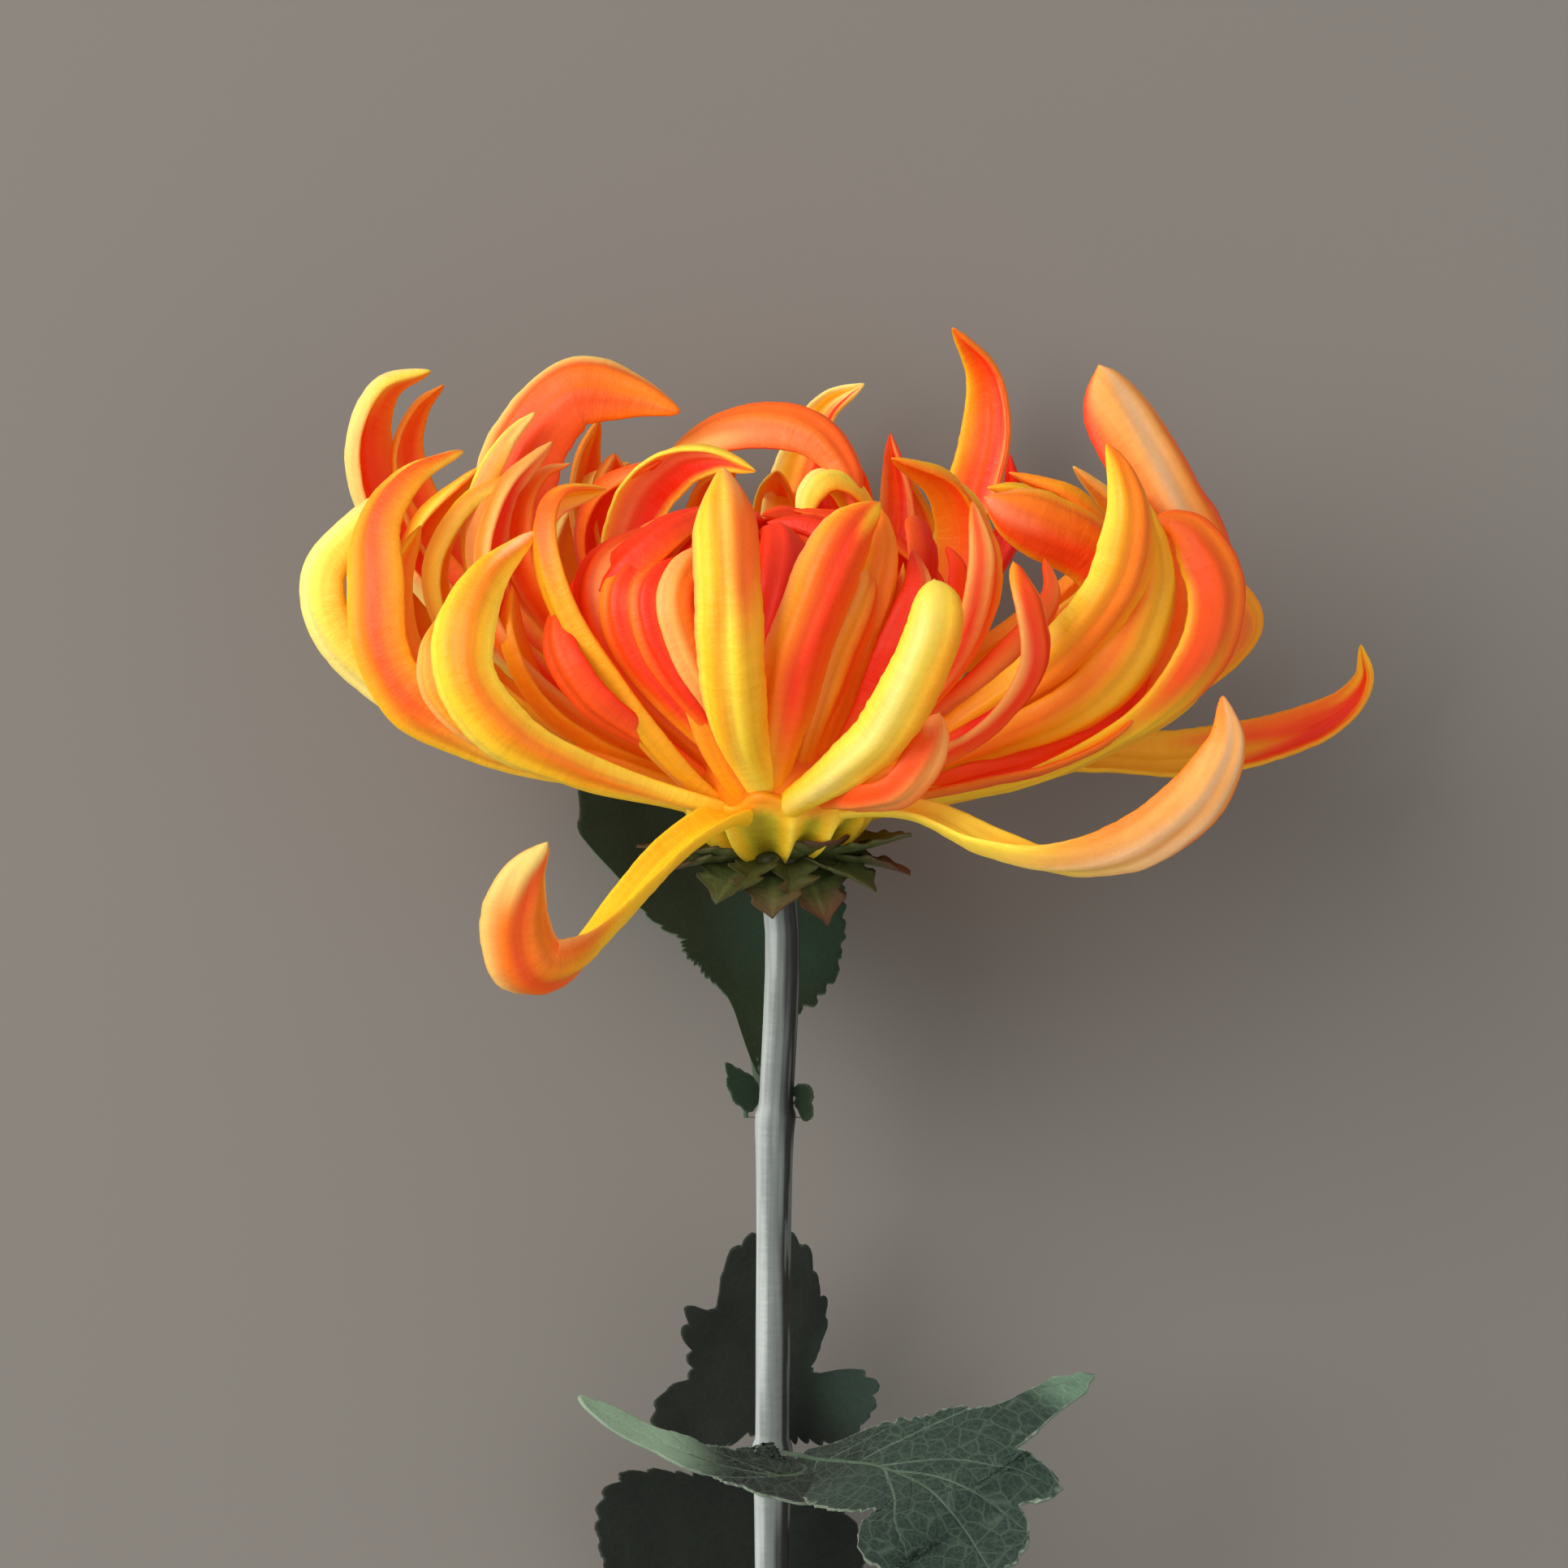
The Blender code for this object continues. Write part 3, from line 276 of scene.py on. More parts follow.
FRONT_PETALS = (
    Petal("droop_left", 10.2, (16, 0, -40, -76), Cut.SPOON,
          Colours("cream peach orange flame orange orange rust", "lemon yellow ochre yellow lemon", "yellow",
                  "cream", 0.5, 0.72, rim="peach"),
          ((-6, 3.6, 12), (-13, -1, 20), (-20.5, -9.3, 29), (-25.6, -14.6, 36), (-30, -15.6, 40),
           (-32, -10.5, 43), (-31, -4.5, 45), (-28.4, 0, 46))),
    # Its blossom bands are painted highlights along the middle of the outer side.
    Petal("droop_right", 10.8, (35, 10, -32, -60), Cut.SLENDER,
          Colours("orange peach peach blossom peach blossom peach orange rust", "lemon amber orange amber",
                  "lemon", "orange", 0.4, 0.68, rim="orange"),
          ((8, 4.2, 8), (17.5, 4.0, 15), (26, 0.2, 21), (35, -2.0, 26), (44, -0.8, 30), (51.4, 4.5, 33),
           (55.6, 12, 34), (55, 18, 32)), 0.85),
    # Its peach left edge is a painted highlight, and its flame flush on the right half is partly painted
    # shade.
    Petal("front_tall", 9.4, (0, 0), Cut.STRAP,
          Colours("peach lemon yellow amber lemon yellow ochre amber", "orange flame orange", "lemon",
                  "peach", 0.1, 0.35, flush="flame", flush_from=0.58, flush_side=1),
          ((-2, 7, 12), (-4.6, 13, 20), (-5.8, 21, 25), (-6.2, 30, 27), (-6.6, 39, 26.5),
           (-6.6, 46.2, 23))),
    Petal("front_orange", 8.8, (0, -4), Cut.STRAP,
          Colours("peach amber orange flame red flame rust orange", "orange flame orange", "amber",
                  "yellow", 0.15, 0.5),
          ((-0.8, 6.5, 11), (0.4, 14, 18), (2.4, 23, 22.5), (5.4, 31, 24), (8.6, 38, 23), (12.6, 42, 20))),
    Petal("front_second", 6.8, (0, -10), Cut.SLENDER,
          Colours("rust peach amber rust orange", "orange flame orange", "amber", "flame"),
          ((2.4, 7, 9), (4.6, 14.6, 15), (7.4, 23, 19), (10.4, 30, 20), (11.8, 35.2, 18))),
    Petal("front_strap", 6.8, (0, 0), Cut.STRAP,
          Colours("yellow orange orange ochre", "amber orange amber", "amber", "orange"),
          ((4, 8, 8), (7.2, 16, 13), (10.4, 25, 17), (12.8, 34, 18), (13, 41, 15))),
    # The ochre and amber bands at its right edge are painted shade.
    Petal("front_yellow", 11.0, (-10, -20), Cut.SAUSAGE,
          Colours("lemon lemon cream lemon amber ochre amber", "orange flame", "yellow", "lemon", 0.1, 0.35),
          ((2, 5, 12), (7.5, 8.6, 19), (13, 13, 25), (17.2, 20, 29.5), (19.8, 27, 31), (19.4, 32.4, 29)),
          1.7),
    Petal("front_curl", 6.8, (0, -30), Cut.BLUNT,
          Colours("rust flame peach rust flame", "rust flame", "orange", "peach"),
          ((6, 5.2, 11), (11, 5.6, 18), (15.4, 6.4, 22), (18.6, 10.5, 23), (20, 16, 21))),
    Petal("front_left_strap", 7.4, (0, -8), Cut.STRAP,
          Colours("peach peach amber orange flame flame", "orange flame orange", "amber", "flame"),
          ((-4, 5.6, 10), (-7.4, 12, 15), (-10, 20, 18), (-10.8, 28, 18.5), (-9.4, 35.4, 15))),
    Petal("front_left_curl", 6.6, (0, 50), Cut.BLUNT,
          Colours("amber orange amber", "yellow orange red red orange", "orange", "amber", rim="yellow"),
          ((-4, 10, 12), (-8.0, 18, 17), (-10.7, 23.6, 19), (-9.6, 29, 20), (-6.5, 32, 18)), 1.2),
    Petal("front_right_inner", 6.6, (0, -10), Cut.SLENDER,
          Colours("red red peach amber", "red crimson", "orange", "red"),
          ((6, 9, 9), (11, 16, 14), (15, 24, 17), (17.6, 31, 17), (16.8, 36, 14))),
    Petal("front_peach", 8.4, (0, 0), Cut.BLUNT,
          Colours("pink peach blossom peach orange", "orange flame", "orange", "peach"),
          ((-0.6, 9, 10), (0.4, 17, 15), (1.6, 26, 17), (1.6, 32, 16), (0.6, 37, 12))),
)
RIGHT_PETALS = (
    Petal("far_right", 9.0, (35, 35, 40, 45), Cut.SLENDER,
          Colours("amber orange amber", "orange flame red red flame orange", "ochre", "yellow", 0.7, 0.84),
          ((12, 6, -8), (25, 9.8, -16), (38, 10.8, -22), (50, 10.6, -25), (60.4, 12.4, -26),
           (68.8, 15.8, -26), (72.4, 20, -25), (72.0, 24.3, -24))),
    Petal("right_hook", 7.6, (10, 20, 0), Cut.STRAP,
          Colours("peach red flame red crimson peach peach rust", "red crimson", "amber", "amber"),
          ((12, 8, 9), (19.5, 11, 14), (27, 15.5, 18), (31.6, 22, 20), (31.4, 28.4, 19.5),
           (29.2, 34.6, 16))),
    Petal("right_upright", 7.8, (0, -10), Cut.SLENDER,
          Colours("peach red peach flame amber flame peach", "red crimson", "amber", "orange"),
          ((12, 11, 6), (18.5, 18, 10), (24, 26, 13), (26, 34, 14), (24.2, 42, 10))),
    Petal("right_sweep", 8.2, (0, -60, -70, -60), Cut.SLENDER,
          Colours("lemon yellow amber orange orange ochre", "orange flame", "amber", "orange", 0.2, 0.5),
          ((14, 10, 4), (25, 16.2, 8), (34.6, 23.0, 12), (41.4, 31, 15), (43.6, 39, 16), (42.8, 45, 14),
           (40.8, 49.2, 10))),
    Petal("right_under", 9.6, (5, -60, -60), Cut.SLENDER,
          Colours("amber orange ochre ochre orange", "amber orange", "yellow", "orange", 0.1, 0.4),
          ((14, 8, 3), (26, 12, 7), (37, 16.5, 10), (43.5, 23, 11), (46.6, 32, 10), (45.4, 40, 7),
           (43, 44, 4))),
    # Its blossom band is a painted highlight and the crimson band at its right edge is painted shade.
    Petal("right_tall", 12.8, (0, -30, -60, -60), Cut.SAUSAGE,
          Colours("red orange peach blossom peach orange flame crimson", "orange flame", "amber", "peach",
                  0.35, 0.65),
          ((16, 8, 0), (31, 11.4, 1), (45.4, 18, 2), (52.5, 26, 2), (52.6, 34.5, 2), (49.2, 42.4, 2),
           (45.2, 49, 1), (42, 54.4, 0), (39.8, 58.8, 0)), 0.85),
    Petal("right_hood", 11.6, (0, 20, -30, -72), Cut.SPOON,
          Colours("rust flame rust orange red crimson crimson", "amber orange yellow", "yellow", "orange",
                  0.5, 0.72, rim="yellow"),
          ((16, 6, 3), (31, 9, 6), (45, 15.4, 8), (53, 23, 9), (55, 31, 9), (52.4, 37.4, 8),
           (49.2, 39.6, 7), (46, 39.4, 7)), 1.1),
    Petal("right_bulge", 8.0, (0, -35), Cut.SLENDER,
          Colours("rust amber rust", "orange flame", "amber", "rust"),
          ((15, 7, -6), (31, 11, -8), (46, 17, -9), (55.4, 23, -9), (58.2, 28, -8), (54, 32.5, -6),
           (48, 30.6, -4))),
    Petal("right_red", 7.6, (20, 42), Cut.SLENDER,
          Colours("flame red orange", "flame red flame", "orange", "flame"),
          ((12, 5, 5), (24, 8.2, 8), (35, 11.4, 9), (42.8, 16, 8), (46.4, 23, 6))),
    Petal("right_low", 7.4, (8, 15), Cut.STRAP,
          Colours("yellow ochre ochre amber", "yellow ochre orange amber", "ochre", "orange"),
          ((13, 4.4, 0), (25, 7.2, 0), (38, 11.4, -2), (49, 17.5, -4), (54, 26, -5), (53, 34, -5))),
    # Its pink tip is a painted highlight.
    Petal("right_over", 10.4, (10, -50, -70), Cut.BLUNT,
          Colours("rust flame flame orange orange yellow", "flame red", "amber", "pink", 0.2, 0.5,
                  rim="yellow"),
          ((20, 17, -2), (34, 24, -2), (42, 31, -1), (39.4, 36, 0), (33.6, 39.2, 2), (28.6, 41.2, 3),
           (25.8, 42.6, 3)), 0.9),
    Petal("right_behind", 7.4, (10, -20), Cut.SLENDER,
          Colours("amber yellow amber", "amber orange", "yellow", "amber"),
          ((19, 20, -9), (30, 27, -12), (38, 34, -12), (35, 41.0, -10), (30, 43.4, -7), (26.2, 43.9, -5))),
    Petal("right_core", 7.2, (0, -15), Cut.SLENDER,
          Colours("flame peach orange flame", "flame red", "amber", "flame"),
          ((13, 12, 3), (22, 18, 6), (29.4, 24.4, 8), (33.6, 30, 8), (33, 35, 6))),
)
TOP_PETALS = (
    Petal("top_right_tall", 10.2, (0, -10), Cut.SLENDER,
          Colours("amber orange", "yellow orange flame flame red pink peach red", "lemon", "orange",
                  0.3, 0.6),
          ((9, 14, -10), (16.8, 24, -19), (21.6, 34, -26), (24.6, 43, -31), (26.4, 51, -34), (25.7, 58, -34),
           (21.8, 63.4, -31))),
    Petal("top_right_red", 6.0, (0, 0), Cut.SLENDER,
          Colours("red crimson", "crimson red crimson", "orange", "crimson"),
          ((14, 17, -12), (23, 29, -18), (29, 39, -20), (28.8, 47.8, -17))),
    Petal("top_right_small", 6.8, (0, 0), Cut.SLENDER,
          Colours("orange red", "peach rust flame red pink peach", "yellow", "red", 0.45, 0.7),
          ((7, 18, -14), (12, 29, -21), (15, 40, -24), (14, 50.4, -22))),
    Petal("top_flag", 8.0, (0, -20), Cut.SLENDER,
          Colours("cream lemon", "cream yellow amber orange crimson crimson", "amber", "cream",
                  0.5, 0.8),
          ((0.5, 16, -14), (0.4, 28, -24), (1.2, 38, -30), (3.2, 47, -34), (6, 53.4, -34),
           (10.6, 56.6, -31))),
    Petal("top_arch", 10.6, (0, -50, -76), Cut.SLENDER,
          Colours("cream cream lemon amber orange amber", "red crimson red", "yellow", "rust", 0.2, 0.4,
                  flush="flame", flush_from=0.52),
          ((-15, 21, -12), (-16.2, 34, -17), (-14, 44, -17), (-8.8, 50.0, -14), (-2.2, 52.2, -10),
           (4.4, 51, -7), (8.8, 46, -5), (9.6, 41, -4))),
    Petal("second_arch", 8.4, (0, 20, 40), Cut.SLENDER,
          Colours("lemon amber orange", "lemon peach pink red red", "orange", "yellow", 0.25, 0.5,
                  rim="lemon"),
          ((-15, 18, -7), (-19.6, 31, -9), (-17.6, 41, -9), (-13, 46.4, -6), (-8, 47.6, -3),
           (-2.8, 46, -1))),
    Petal("yellow_fold", 7.4, (0, -20, -20), Cut.STRAP,
          Colours("lemon cream lemon amber", "yellow red crimson", "amber", "lemon", 0.3, 0.5),
          ((8, 18, -8), (11.4, 30, -9), (11.0, 38.6, -8), (9.0, 43.4, -6), (5.8, 44.8, -4),
           (3.8, 42.6, -3), (3.2, 39, -2))),
    Petal("fold_red", 9.6, (0, 0), Cut.SLENDER,
          Colours("red red crimson", "red red crimson red", "orange", "red", 0.2, 0.4, rim="orange"),
          ((1.6, 12, -3), (2.4, 22, -7), (3.6, 32, -8), (5.0, 38.6, -6), (5.6, 43.2, -3))),
    Petal("red_dome", 8.6, (0, 0), Cut.BLUNT,
          Colours("rust crimson crimson rust", "red crimson", "orange", "rust"),
          ((8, 12, 4), (14, 20, 8), (17.4, 28, 8.6), (18, 35, 7), (17, 40.2, 3))),
)
BALL_PETALS = (
    Petal("ball_edge", 7.4, (0, 0), Cut.BLUNT,
          Colours("red flame red flame peach", "red crimson", "orange", "red", rim="orange"),
          ((-5.7, 8, 8), (-15.7, 17, 13), (-21.2, 24, 15), (-23.3, 30, 15), (-22, 34.5, 13), (-18, 37, 10),
           (-12.5, 38.3, 6))),
    Petal("ball_amber", 6.5, (0, 0), Cut.SLENDER,
          Colours("peach amber flame red flame", "red crimson", "amber", "flame", rim="peach"),
          ((-6, 10, 12), (-13, 17, 16), (-18.5, 24, 18), (-20, 30, 18), (-18, 34, 16), (-14, 36.5, 12))),
    Petal("ball_peach", 6.0, (0, 0), Cut.SLENDER,
          Colours("peach orange red red flame", "red crimson", "orange", "red", rim="orange"),
          ((-5, 11, 13), (-10, 17, 18), (-15, 24, 20), (-16.5, 30, 20), (-14.5, 33.5, 18),
           (-10.5, 35.5, 14))),
    Petal("ball_flame", 6.0, (0, 0), Cut.STRAP,
          Colours("flame peach peach orange flame", "flame red", "orange", "flame"),
          ((-4, 12, 14), (-8, 18, 19), (-11.5, 24, 21.5), (-13, 30, 22), (-11.5, 34, 20), (-8.5, 36.6, 15))),
    Petal("ball_crest", 8.0, (0, 0), Cut.BLUNT,
          Colours("flame orange flame orange flame", "flame red", "orange", "orange"),
          ((-3, 12, 8), (-8.5, 22, 12), (-12.5, 31, 13), (-13, 36.5, 11), (-10.5, 40.6, 7))),
    Petal("ball_right", 7.0, (0, 0), Cut.SLENDER,
          Colours("red flame red crimson", "red crimson", "orange", "red"),
          ((10, 12, 6), (18, 20, 11), (22, 28, 13), (22.5, 33, 11), (21, 36.5, 8))),
    Petal("spike_near", 3.4, (0, 0), Cut.SLENDER,
          Colours("flame orange flame", "flame red", "orange", "yellow"),
          ((9, 16, 10), (13, 23, 15), (15.4, 29, 16), (15.6, 34.4, 14))),
    Petal("spike_far", 3.2, (0, 0), Cut.SLENDER,
          Colours("red flame red", "flame red", "orange", "yellow"),
          ((10, 16, 8), (15, 24, 13), (18, 30, 14), (18.6, 33.6, 13))),
)


@dataclass(frozen=True)
class PetalRow:
    """Petals that stand round the axis by a rule.

    Attributes:
        count: How many petals the row has.
        first: Azimuth of the first, in degrees.
        step: Degrees from each petal to the next.
        width: Flat width of each, in mm.
        line: Middle line as (radius, height) in mm.
        colours: Colourings that the row takes in turn.
    """

    count: int
    first: float
    step: float
    width: float
    line: Profile
    colours: tuple[Colours, ...]

    def petal(self, name: str, k: int, turn: tuple[float, float] = (0.0, 0.0)) -> Petal:
        """One petal of the row, without a line of its own."""
        return Petal(name, self.width, turn, Cut.SLENDER, self.colours[k % len(self.colours)], ())


GOLD = Colours("lemon amber yellow orange", "amber orange flame amber", "yellow", "orange")
SUNLIT = Colours("cream lemon lemon amber", "amber orange amber", "yellow", "peach")
EMBER = Colours("orange flame peach flame", "flame red red flame", "orange", "flame")
DEEP = Colours("flame red red flame", "red crimson", "orange", "flame", rim="orange")
DARK = Colours("red red crimson", "red crimson", "flame", "red")

REAR_ROWS = (
    PetalRow(4, 27.0, 42.0, 9.0,
             ((14, 4.5), (27, 6.5), (39, 11.5), (48.5, 19), (52.6, 28), (50, 38), (42, 45.4)),
             (SUNLIT, GOLD)),
    PetalRow(5, 12.0, 39.0, 8.4,
             ((12, 7.5), (23, 11.5), (34, 18), (42, 26.5), (43.4, 34.6), (38.6, 42.4), (30, 46)),
             (GOLD, SUNLIT)),
    PetalRow(4, 35.0, 37.0, 8.0,
             ((9, 11.5), (17, 19), (25, 28), (29, 36.6), (26.4, 44.2), (18, 48)),
             (GOLD, EMBER)),
)
BALL_ROWS = (
    PetalRow(7, 0.0, 30.0, 8.2, ((9, 8), (17, 13.5), (22.6, 22), (22.6, 31), (15, 38), (6, 40.6)),
             (DEEP, EMBER, DARK)),
    PetalRow(8, 20.0, 45.0, 7.6, ((7, 11), (12.6, 17), (16.4, 25), (14.6, 33.6), (7.6, 38.4), (1.5, 39)),
             (DEEP, DARK)),
    PetalRow(6, 0.0, 60.0, 6.4, ((4, 13.5), (7, 19), (9.6, 27), (7.2, 34.4), (2.5, 38)),
             (DARK, DEEP)),
)


@dataclass(frozen=True)
class Resting:
    """How the flower lies: on two rear petals and on the cut end of its stem.

    Attributes:
        rear_reach: How far behind the axis the rear petals touch the surface, in mm.
        rear_height: How high on the axis that is.
        stem_length: From the flower's origin down to the cut.
        stem_radius: Of the plain stem.
        stem_press: How far the cut end is pressed flat.
        shift: Place of the flower's origin on the surface.
    """

    rear_reach: float = 48.62
    rear_height: float = 28.0
    stem_length: float = 165.0
    stem_radius: float = 2.15
    stem_press: float = 0.25
    shift: tuple[float, float] = (-8.8, 45.5)

    @property
    def matrix(self) -> Matrix:
        """From the flower's own frame, in mm, to the world, in metres."""
        slope = math.atan2(self.rear_reach - self.stem_radius, self.stem_length + self.rear_height)
        height = self.stem_length * math.sin(slope) + (self.stem_radius - self.stem_press) * math.cos(slope)
        place = Matrix.Translation((self.shift[0] * MM, self.shift[1] * MM, height * MM))
        return place @ Matrix.Rotation(slope - math.pi / 2, 4, "X") @ Matrix.Scale(MM, 4)


RESTING = Resting()
LIE = RESTING.matrix


@dataclass(frozen=True)
class Viewpoint:
    """The eye that the photograph was taken from, in the flower's own frame.

    Attributes:
        distance: From the eye to the bloom, in mm.
        elevation: How far above level the eye is, in degrees.
        centre: Middle of the picture, as (across, up) in mm.
        field: Width of the picture at the bloom, in mm.
        sensor: Width of the camera's sensor, in mm.
    """

    distance: float = 700.0
    elevation: float = 6.0
    centre: tuple[float, float] = (0.9, 7.4)
    field: float = 193.2
    sensor: float = 36.0

    @property
    def towards(self) -> Vector:
        """Direction from the flower to the eye."""
        tilt = math.radians(self.elevation)
        return Vector((0, -math.cos(tilt), math.sin(tilt)))

    @property
    def upward(self) -> Vector:
        """Direction that is up in the picture."""
        tilt = math.radians(self.elevation)
        return Vector((0, math.sin(tilt), math.cos(tilt)))

    def place(self, seen: Point) -> Vector:
        """Finds the point that is seen at a place of the picture.

        Args:
            seen: The place as (across, up, near) in mm.

        Returns:
            The point in the flower's own frame.
        """
        across, up, near = seen
        shrink = (self.distance - near) / self.distance
        x = self.centre[0] + (across - self.centre[0]) * shrink
        rise = self.centre[1] + (up - self.centre[1]) * shrink
        return Vector((x, 0, 0)) + self.upward * rise + self.towards * near

    def camera(self) -> None:
        """Makes the scene's camera, looking at the flower as it lies."""
        data = bpy.data.cameras.new("eye")
        data.sensor_width = self.sensor
        data.lens = self.sensor * self.distance / self.field
        eye = bpy.data.objects.new("eye", data)
        bpy.context.scene.collection.objects.link(eye)
        axes = Matrix((Vector((1, 0, 0)), self.upward, self.towards)).transposed().to_4x4()
        middle = Vector((self.centre[0], 0, 0)) + self.upward * self.centre[1]
        turned = LIE @ Matrix.Translation(middle + self.towards * self.distance) @ axes
        place, rotation, _ = turned.decompose()
        eye.matrix_world = Matrix.LocRotScale(place, rotation, None)
        bpy.context.scene.camera = eye


EYE = Viewpoint()


def eased(value: np.ndarray | float, low: float, high: float) -> np.ndarray | float:
    """Rises smoothly from 0 at low to 1 at high.

    Args:
        value: One number or many.
        low: Where the rise starts.
        high: Where it is full.

    Returns:
        The share, of the same shape as value.
    """
    share = np.clip((value - low) / (high - low), 0.0, 1.0)
    return share * share * (3 - 2 * share)


def bell(value: np.ndarray, middle: float, spread: float) -> np.ndarray:
    """A smooth hump of height 1 round the middle."""
    return np.exp(-(((value - middle) / spread) ** 2))


def mixed(first: np.ndarray, second: np.ndarray, share: np.ndarray) -> np.ndarray:
    """Blends two colours, or fields of colours, by a field of shares."""
    return first + (second - first) * share[..., None]


def smooth_line(points: list[Vector], count: int) -> list[Vector]:
    """Spaces points evenly along a smooth curve through the given ones.

    Args:
        points: What the curve runs through.
        count: How many points to return.

    Returns:
        The points, with both ends kept.
    """
    ends = [points[0] * 2 - points[1], *points, points[-1] * 2 - points[-2]]
    dense = []
    steps = 24
    for a, b, c, d in zip(ends, ends[1:], ends[2:], ends[3:]):
        for step in range(steps):
            t = step / steps
            dense.append(0.5 * (2 * b + (c - a) * t + (2 * a - 5 * b + 4 * c - d) * t * t
                                + (3 * b - a - 3 * c + d) * t ** 3))
    dense.append(points[-1].copy())
    reach = np.concatenate([[0.0], np.cumsum([(q - p).length for p, q in zip(dense, dense[1:])])])
    wanted = np.linspace(0.0, reach[-1], count)
    axes = [np.interp(wanted, reach, [p[k] for p in dense]) for k in range(3)]
    return [Vector(row) for row in zip(*axes)]


def between(values: tuple[float, ...], t: float) -> float:
    """The value at t along evenly spaced values."""
    return float(np.interp(t, np.linspace(0, 1, len(values)), values))


class Draft:
    """Collects the points, faces and painted values of one piece before it becomes a mesh."""

    def __init__(self) -> None:
        """Starts an empty piece."""
        self.points: list[np.ndarray] = []
        self.faces: list[tuple[int, ...]] = []
        self.tints: list[np.ndarray] = []
        self.flats: list[np.ndarray] = []
        self.count = 0

    def add(self, points: np.ndarray, tints: np.ndarray, flats: np.ndarray) -> int:
        """Adds points in the flower's own frame.

        Args:
            points: Their places in mm, one row each.
            tints: Their linear colours.
            flats: Where each lies on the flattened piece, in mm, for grain that follows the piece.

        Returns:
            The number of the first of them.
        """
        first = self.count
        self.points.append(points)
        self.tints.append(tints)
        self.flats.append(flats)
        self.count += len(points)
        return first

    def ring_faces(self, first: int, rows: int, ring: int) -> None:
        """Joins rows of closed rings into a skin.

        Args:
            first: Number of the first point.
            rows: How many rings there are.
            ring: Points of each.
        """
        for i in range(rows - 1):
            low, high = first + i * ring, first + (i + 1) * ring
            for k in range(ring):
                n = (k + 1) % ring
                self.faces.append((low + k, low + n, high + n, high + k))

    def fan(self, ring: list[int], hub: int) -> None:
        """Closes a ring with triangles to a hub."""
        for k, at in enumerate(ring):
            self.faces.append((at, ring[(k + 1) % len(ring)], hub))

    def tube(self, places: np.ndarray, tints: np.ndarray, flats: np.ndarray, hubs: np.ndarray,
             hub_tints: np.ndarray | None = None) -> None:
        """Adds rows of closed rings as one skin, with a fan to a hub at each end.

        Args:
            places: Points in mm, by row and by place round the ring.
            tints: Their linear colours.
            flats: Where each lies on the flattened piece, in mm.
            hubs: The two points that close the ends.
            hub_tints: Colours of those two, where they aren't the ends' own.
        """
        rows, ring = places.shape[:2]
        first = self.add(places.reshape(-1, 3), tints.reshape(-1, 4), flats.reshape(-1, 3))
        self.ring_faces(first, rows, ring)
        caps = self.add(hubs, tints[[0, -1], 0] if hub_tints is None else hub_tints, flats[[0, -1], 0])
        for k, row in enumerate((0, rows - 1)):
            self.fan(list(range(first + row * ring, first + (row + 1) * ring)), caps + k)

    def turned(self, profile: Profile, tints: np.ndarray, ribs: float = 0.0) -> None:
        """Adds an open shape turned about the axis.

        Args:
            profile: Radius and height of each ring, in mm.
            tints: Linear colour of each ring.
            ribs: Share of the radius by which eleven soft ribs stand out.
        """
        turn = np.linspace(0, math.tau, TURNED_STEPS, endpoint=False)
        first = self.count
        for (radius, z), tint in zip(profile, tints):
            ribbed = max(radius, 0.05) * (1 + ribs * np.cos(turn * 11))
            places = np.stack([ribbed * np.cos(turn), ribbed * np.sin(turn), np.full(len(turn), z)], axis=-1)
            self.add(places, np.broadcast_to(tint, (len(turn), 4)), places)
        self.ring_faces(first, len(profile), len(turn))

    def piece(self, name: str, material: bpy.types.Material,
              nodes: tuple[str, ...]) -> bpy.types.Object:
        """Makes the object, lays it down with the flower and has it stand for its solids.

        Args:
            name: Name of the piece.
            material: Its finish.
            nodes: The solids that it replaces.

        Returns:
            The object.
        """
        places = np.concatenate(self.points)
        lie = np.array(LIE)
        world = places @ lie[:3, :3].T + lie[:3, 3]
        world[:, 2] = np.maximum(world[:, 2], FLOOR_CLEARANCE * MM)
        mesh = bpy.data.meshes.new(name)
        mesh.from_pydata(world.tolist(), [], self.faces)
        tint = mesh.attributes.new("tint", "FLOAT_COLOR", "POINT")
        tint.data.foreach_set("color", np.concatenate(self.tints).astype(np.float32).ravel())
        flat = mesh.attributes.new("flat", "FLOAT_VECTOR", "POINT")
        flat.data.foreach_set("vector", np.concatenate(self.flats).astype(np.float32).ravel())
        edit = bmesh.new()
        edit.from_mesh(mesh)
        bmesh.ops.recalc_face_normals(edit, faces=edit.faces)
        edit.to_mesh(mesh)
        edit.free()
        mesh.shade_smooth()
        mesh.materials.append(material)
        made = bpy.data.objects.new(name, mesh)
        bpy.context.scene.collection.objects.link(made)
        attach(made, BODY)
        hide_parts(*nodes)
        LOG.info("%s: %d points, %d faces", name, len(mesh.vertices), len(mesh.polygons))
        return made


@dataclass(frozen=True)
class Grain:
    """Shader inputs that a finish of this flower is made from.

    Attributes:
        roughness: Least and greatest roughness.
        relief: Depth of the fine bumps, in metres.
        across: Bumps for each mm across the piece.
        along: Bumps for each mm along it.
        mottle: How far the blotches change the brightness.
        streak: How far the long streaks change it.
        scatter: Weight of the light that passes under the surface.
    """

    roughness: tuple[float, float]
    relief: float
    across: float
    along: float
    mottle: float
    streak: float
    scatter: float


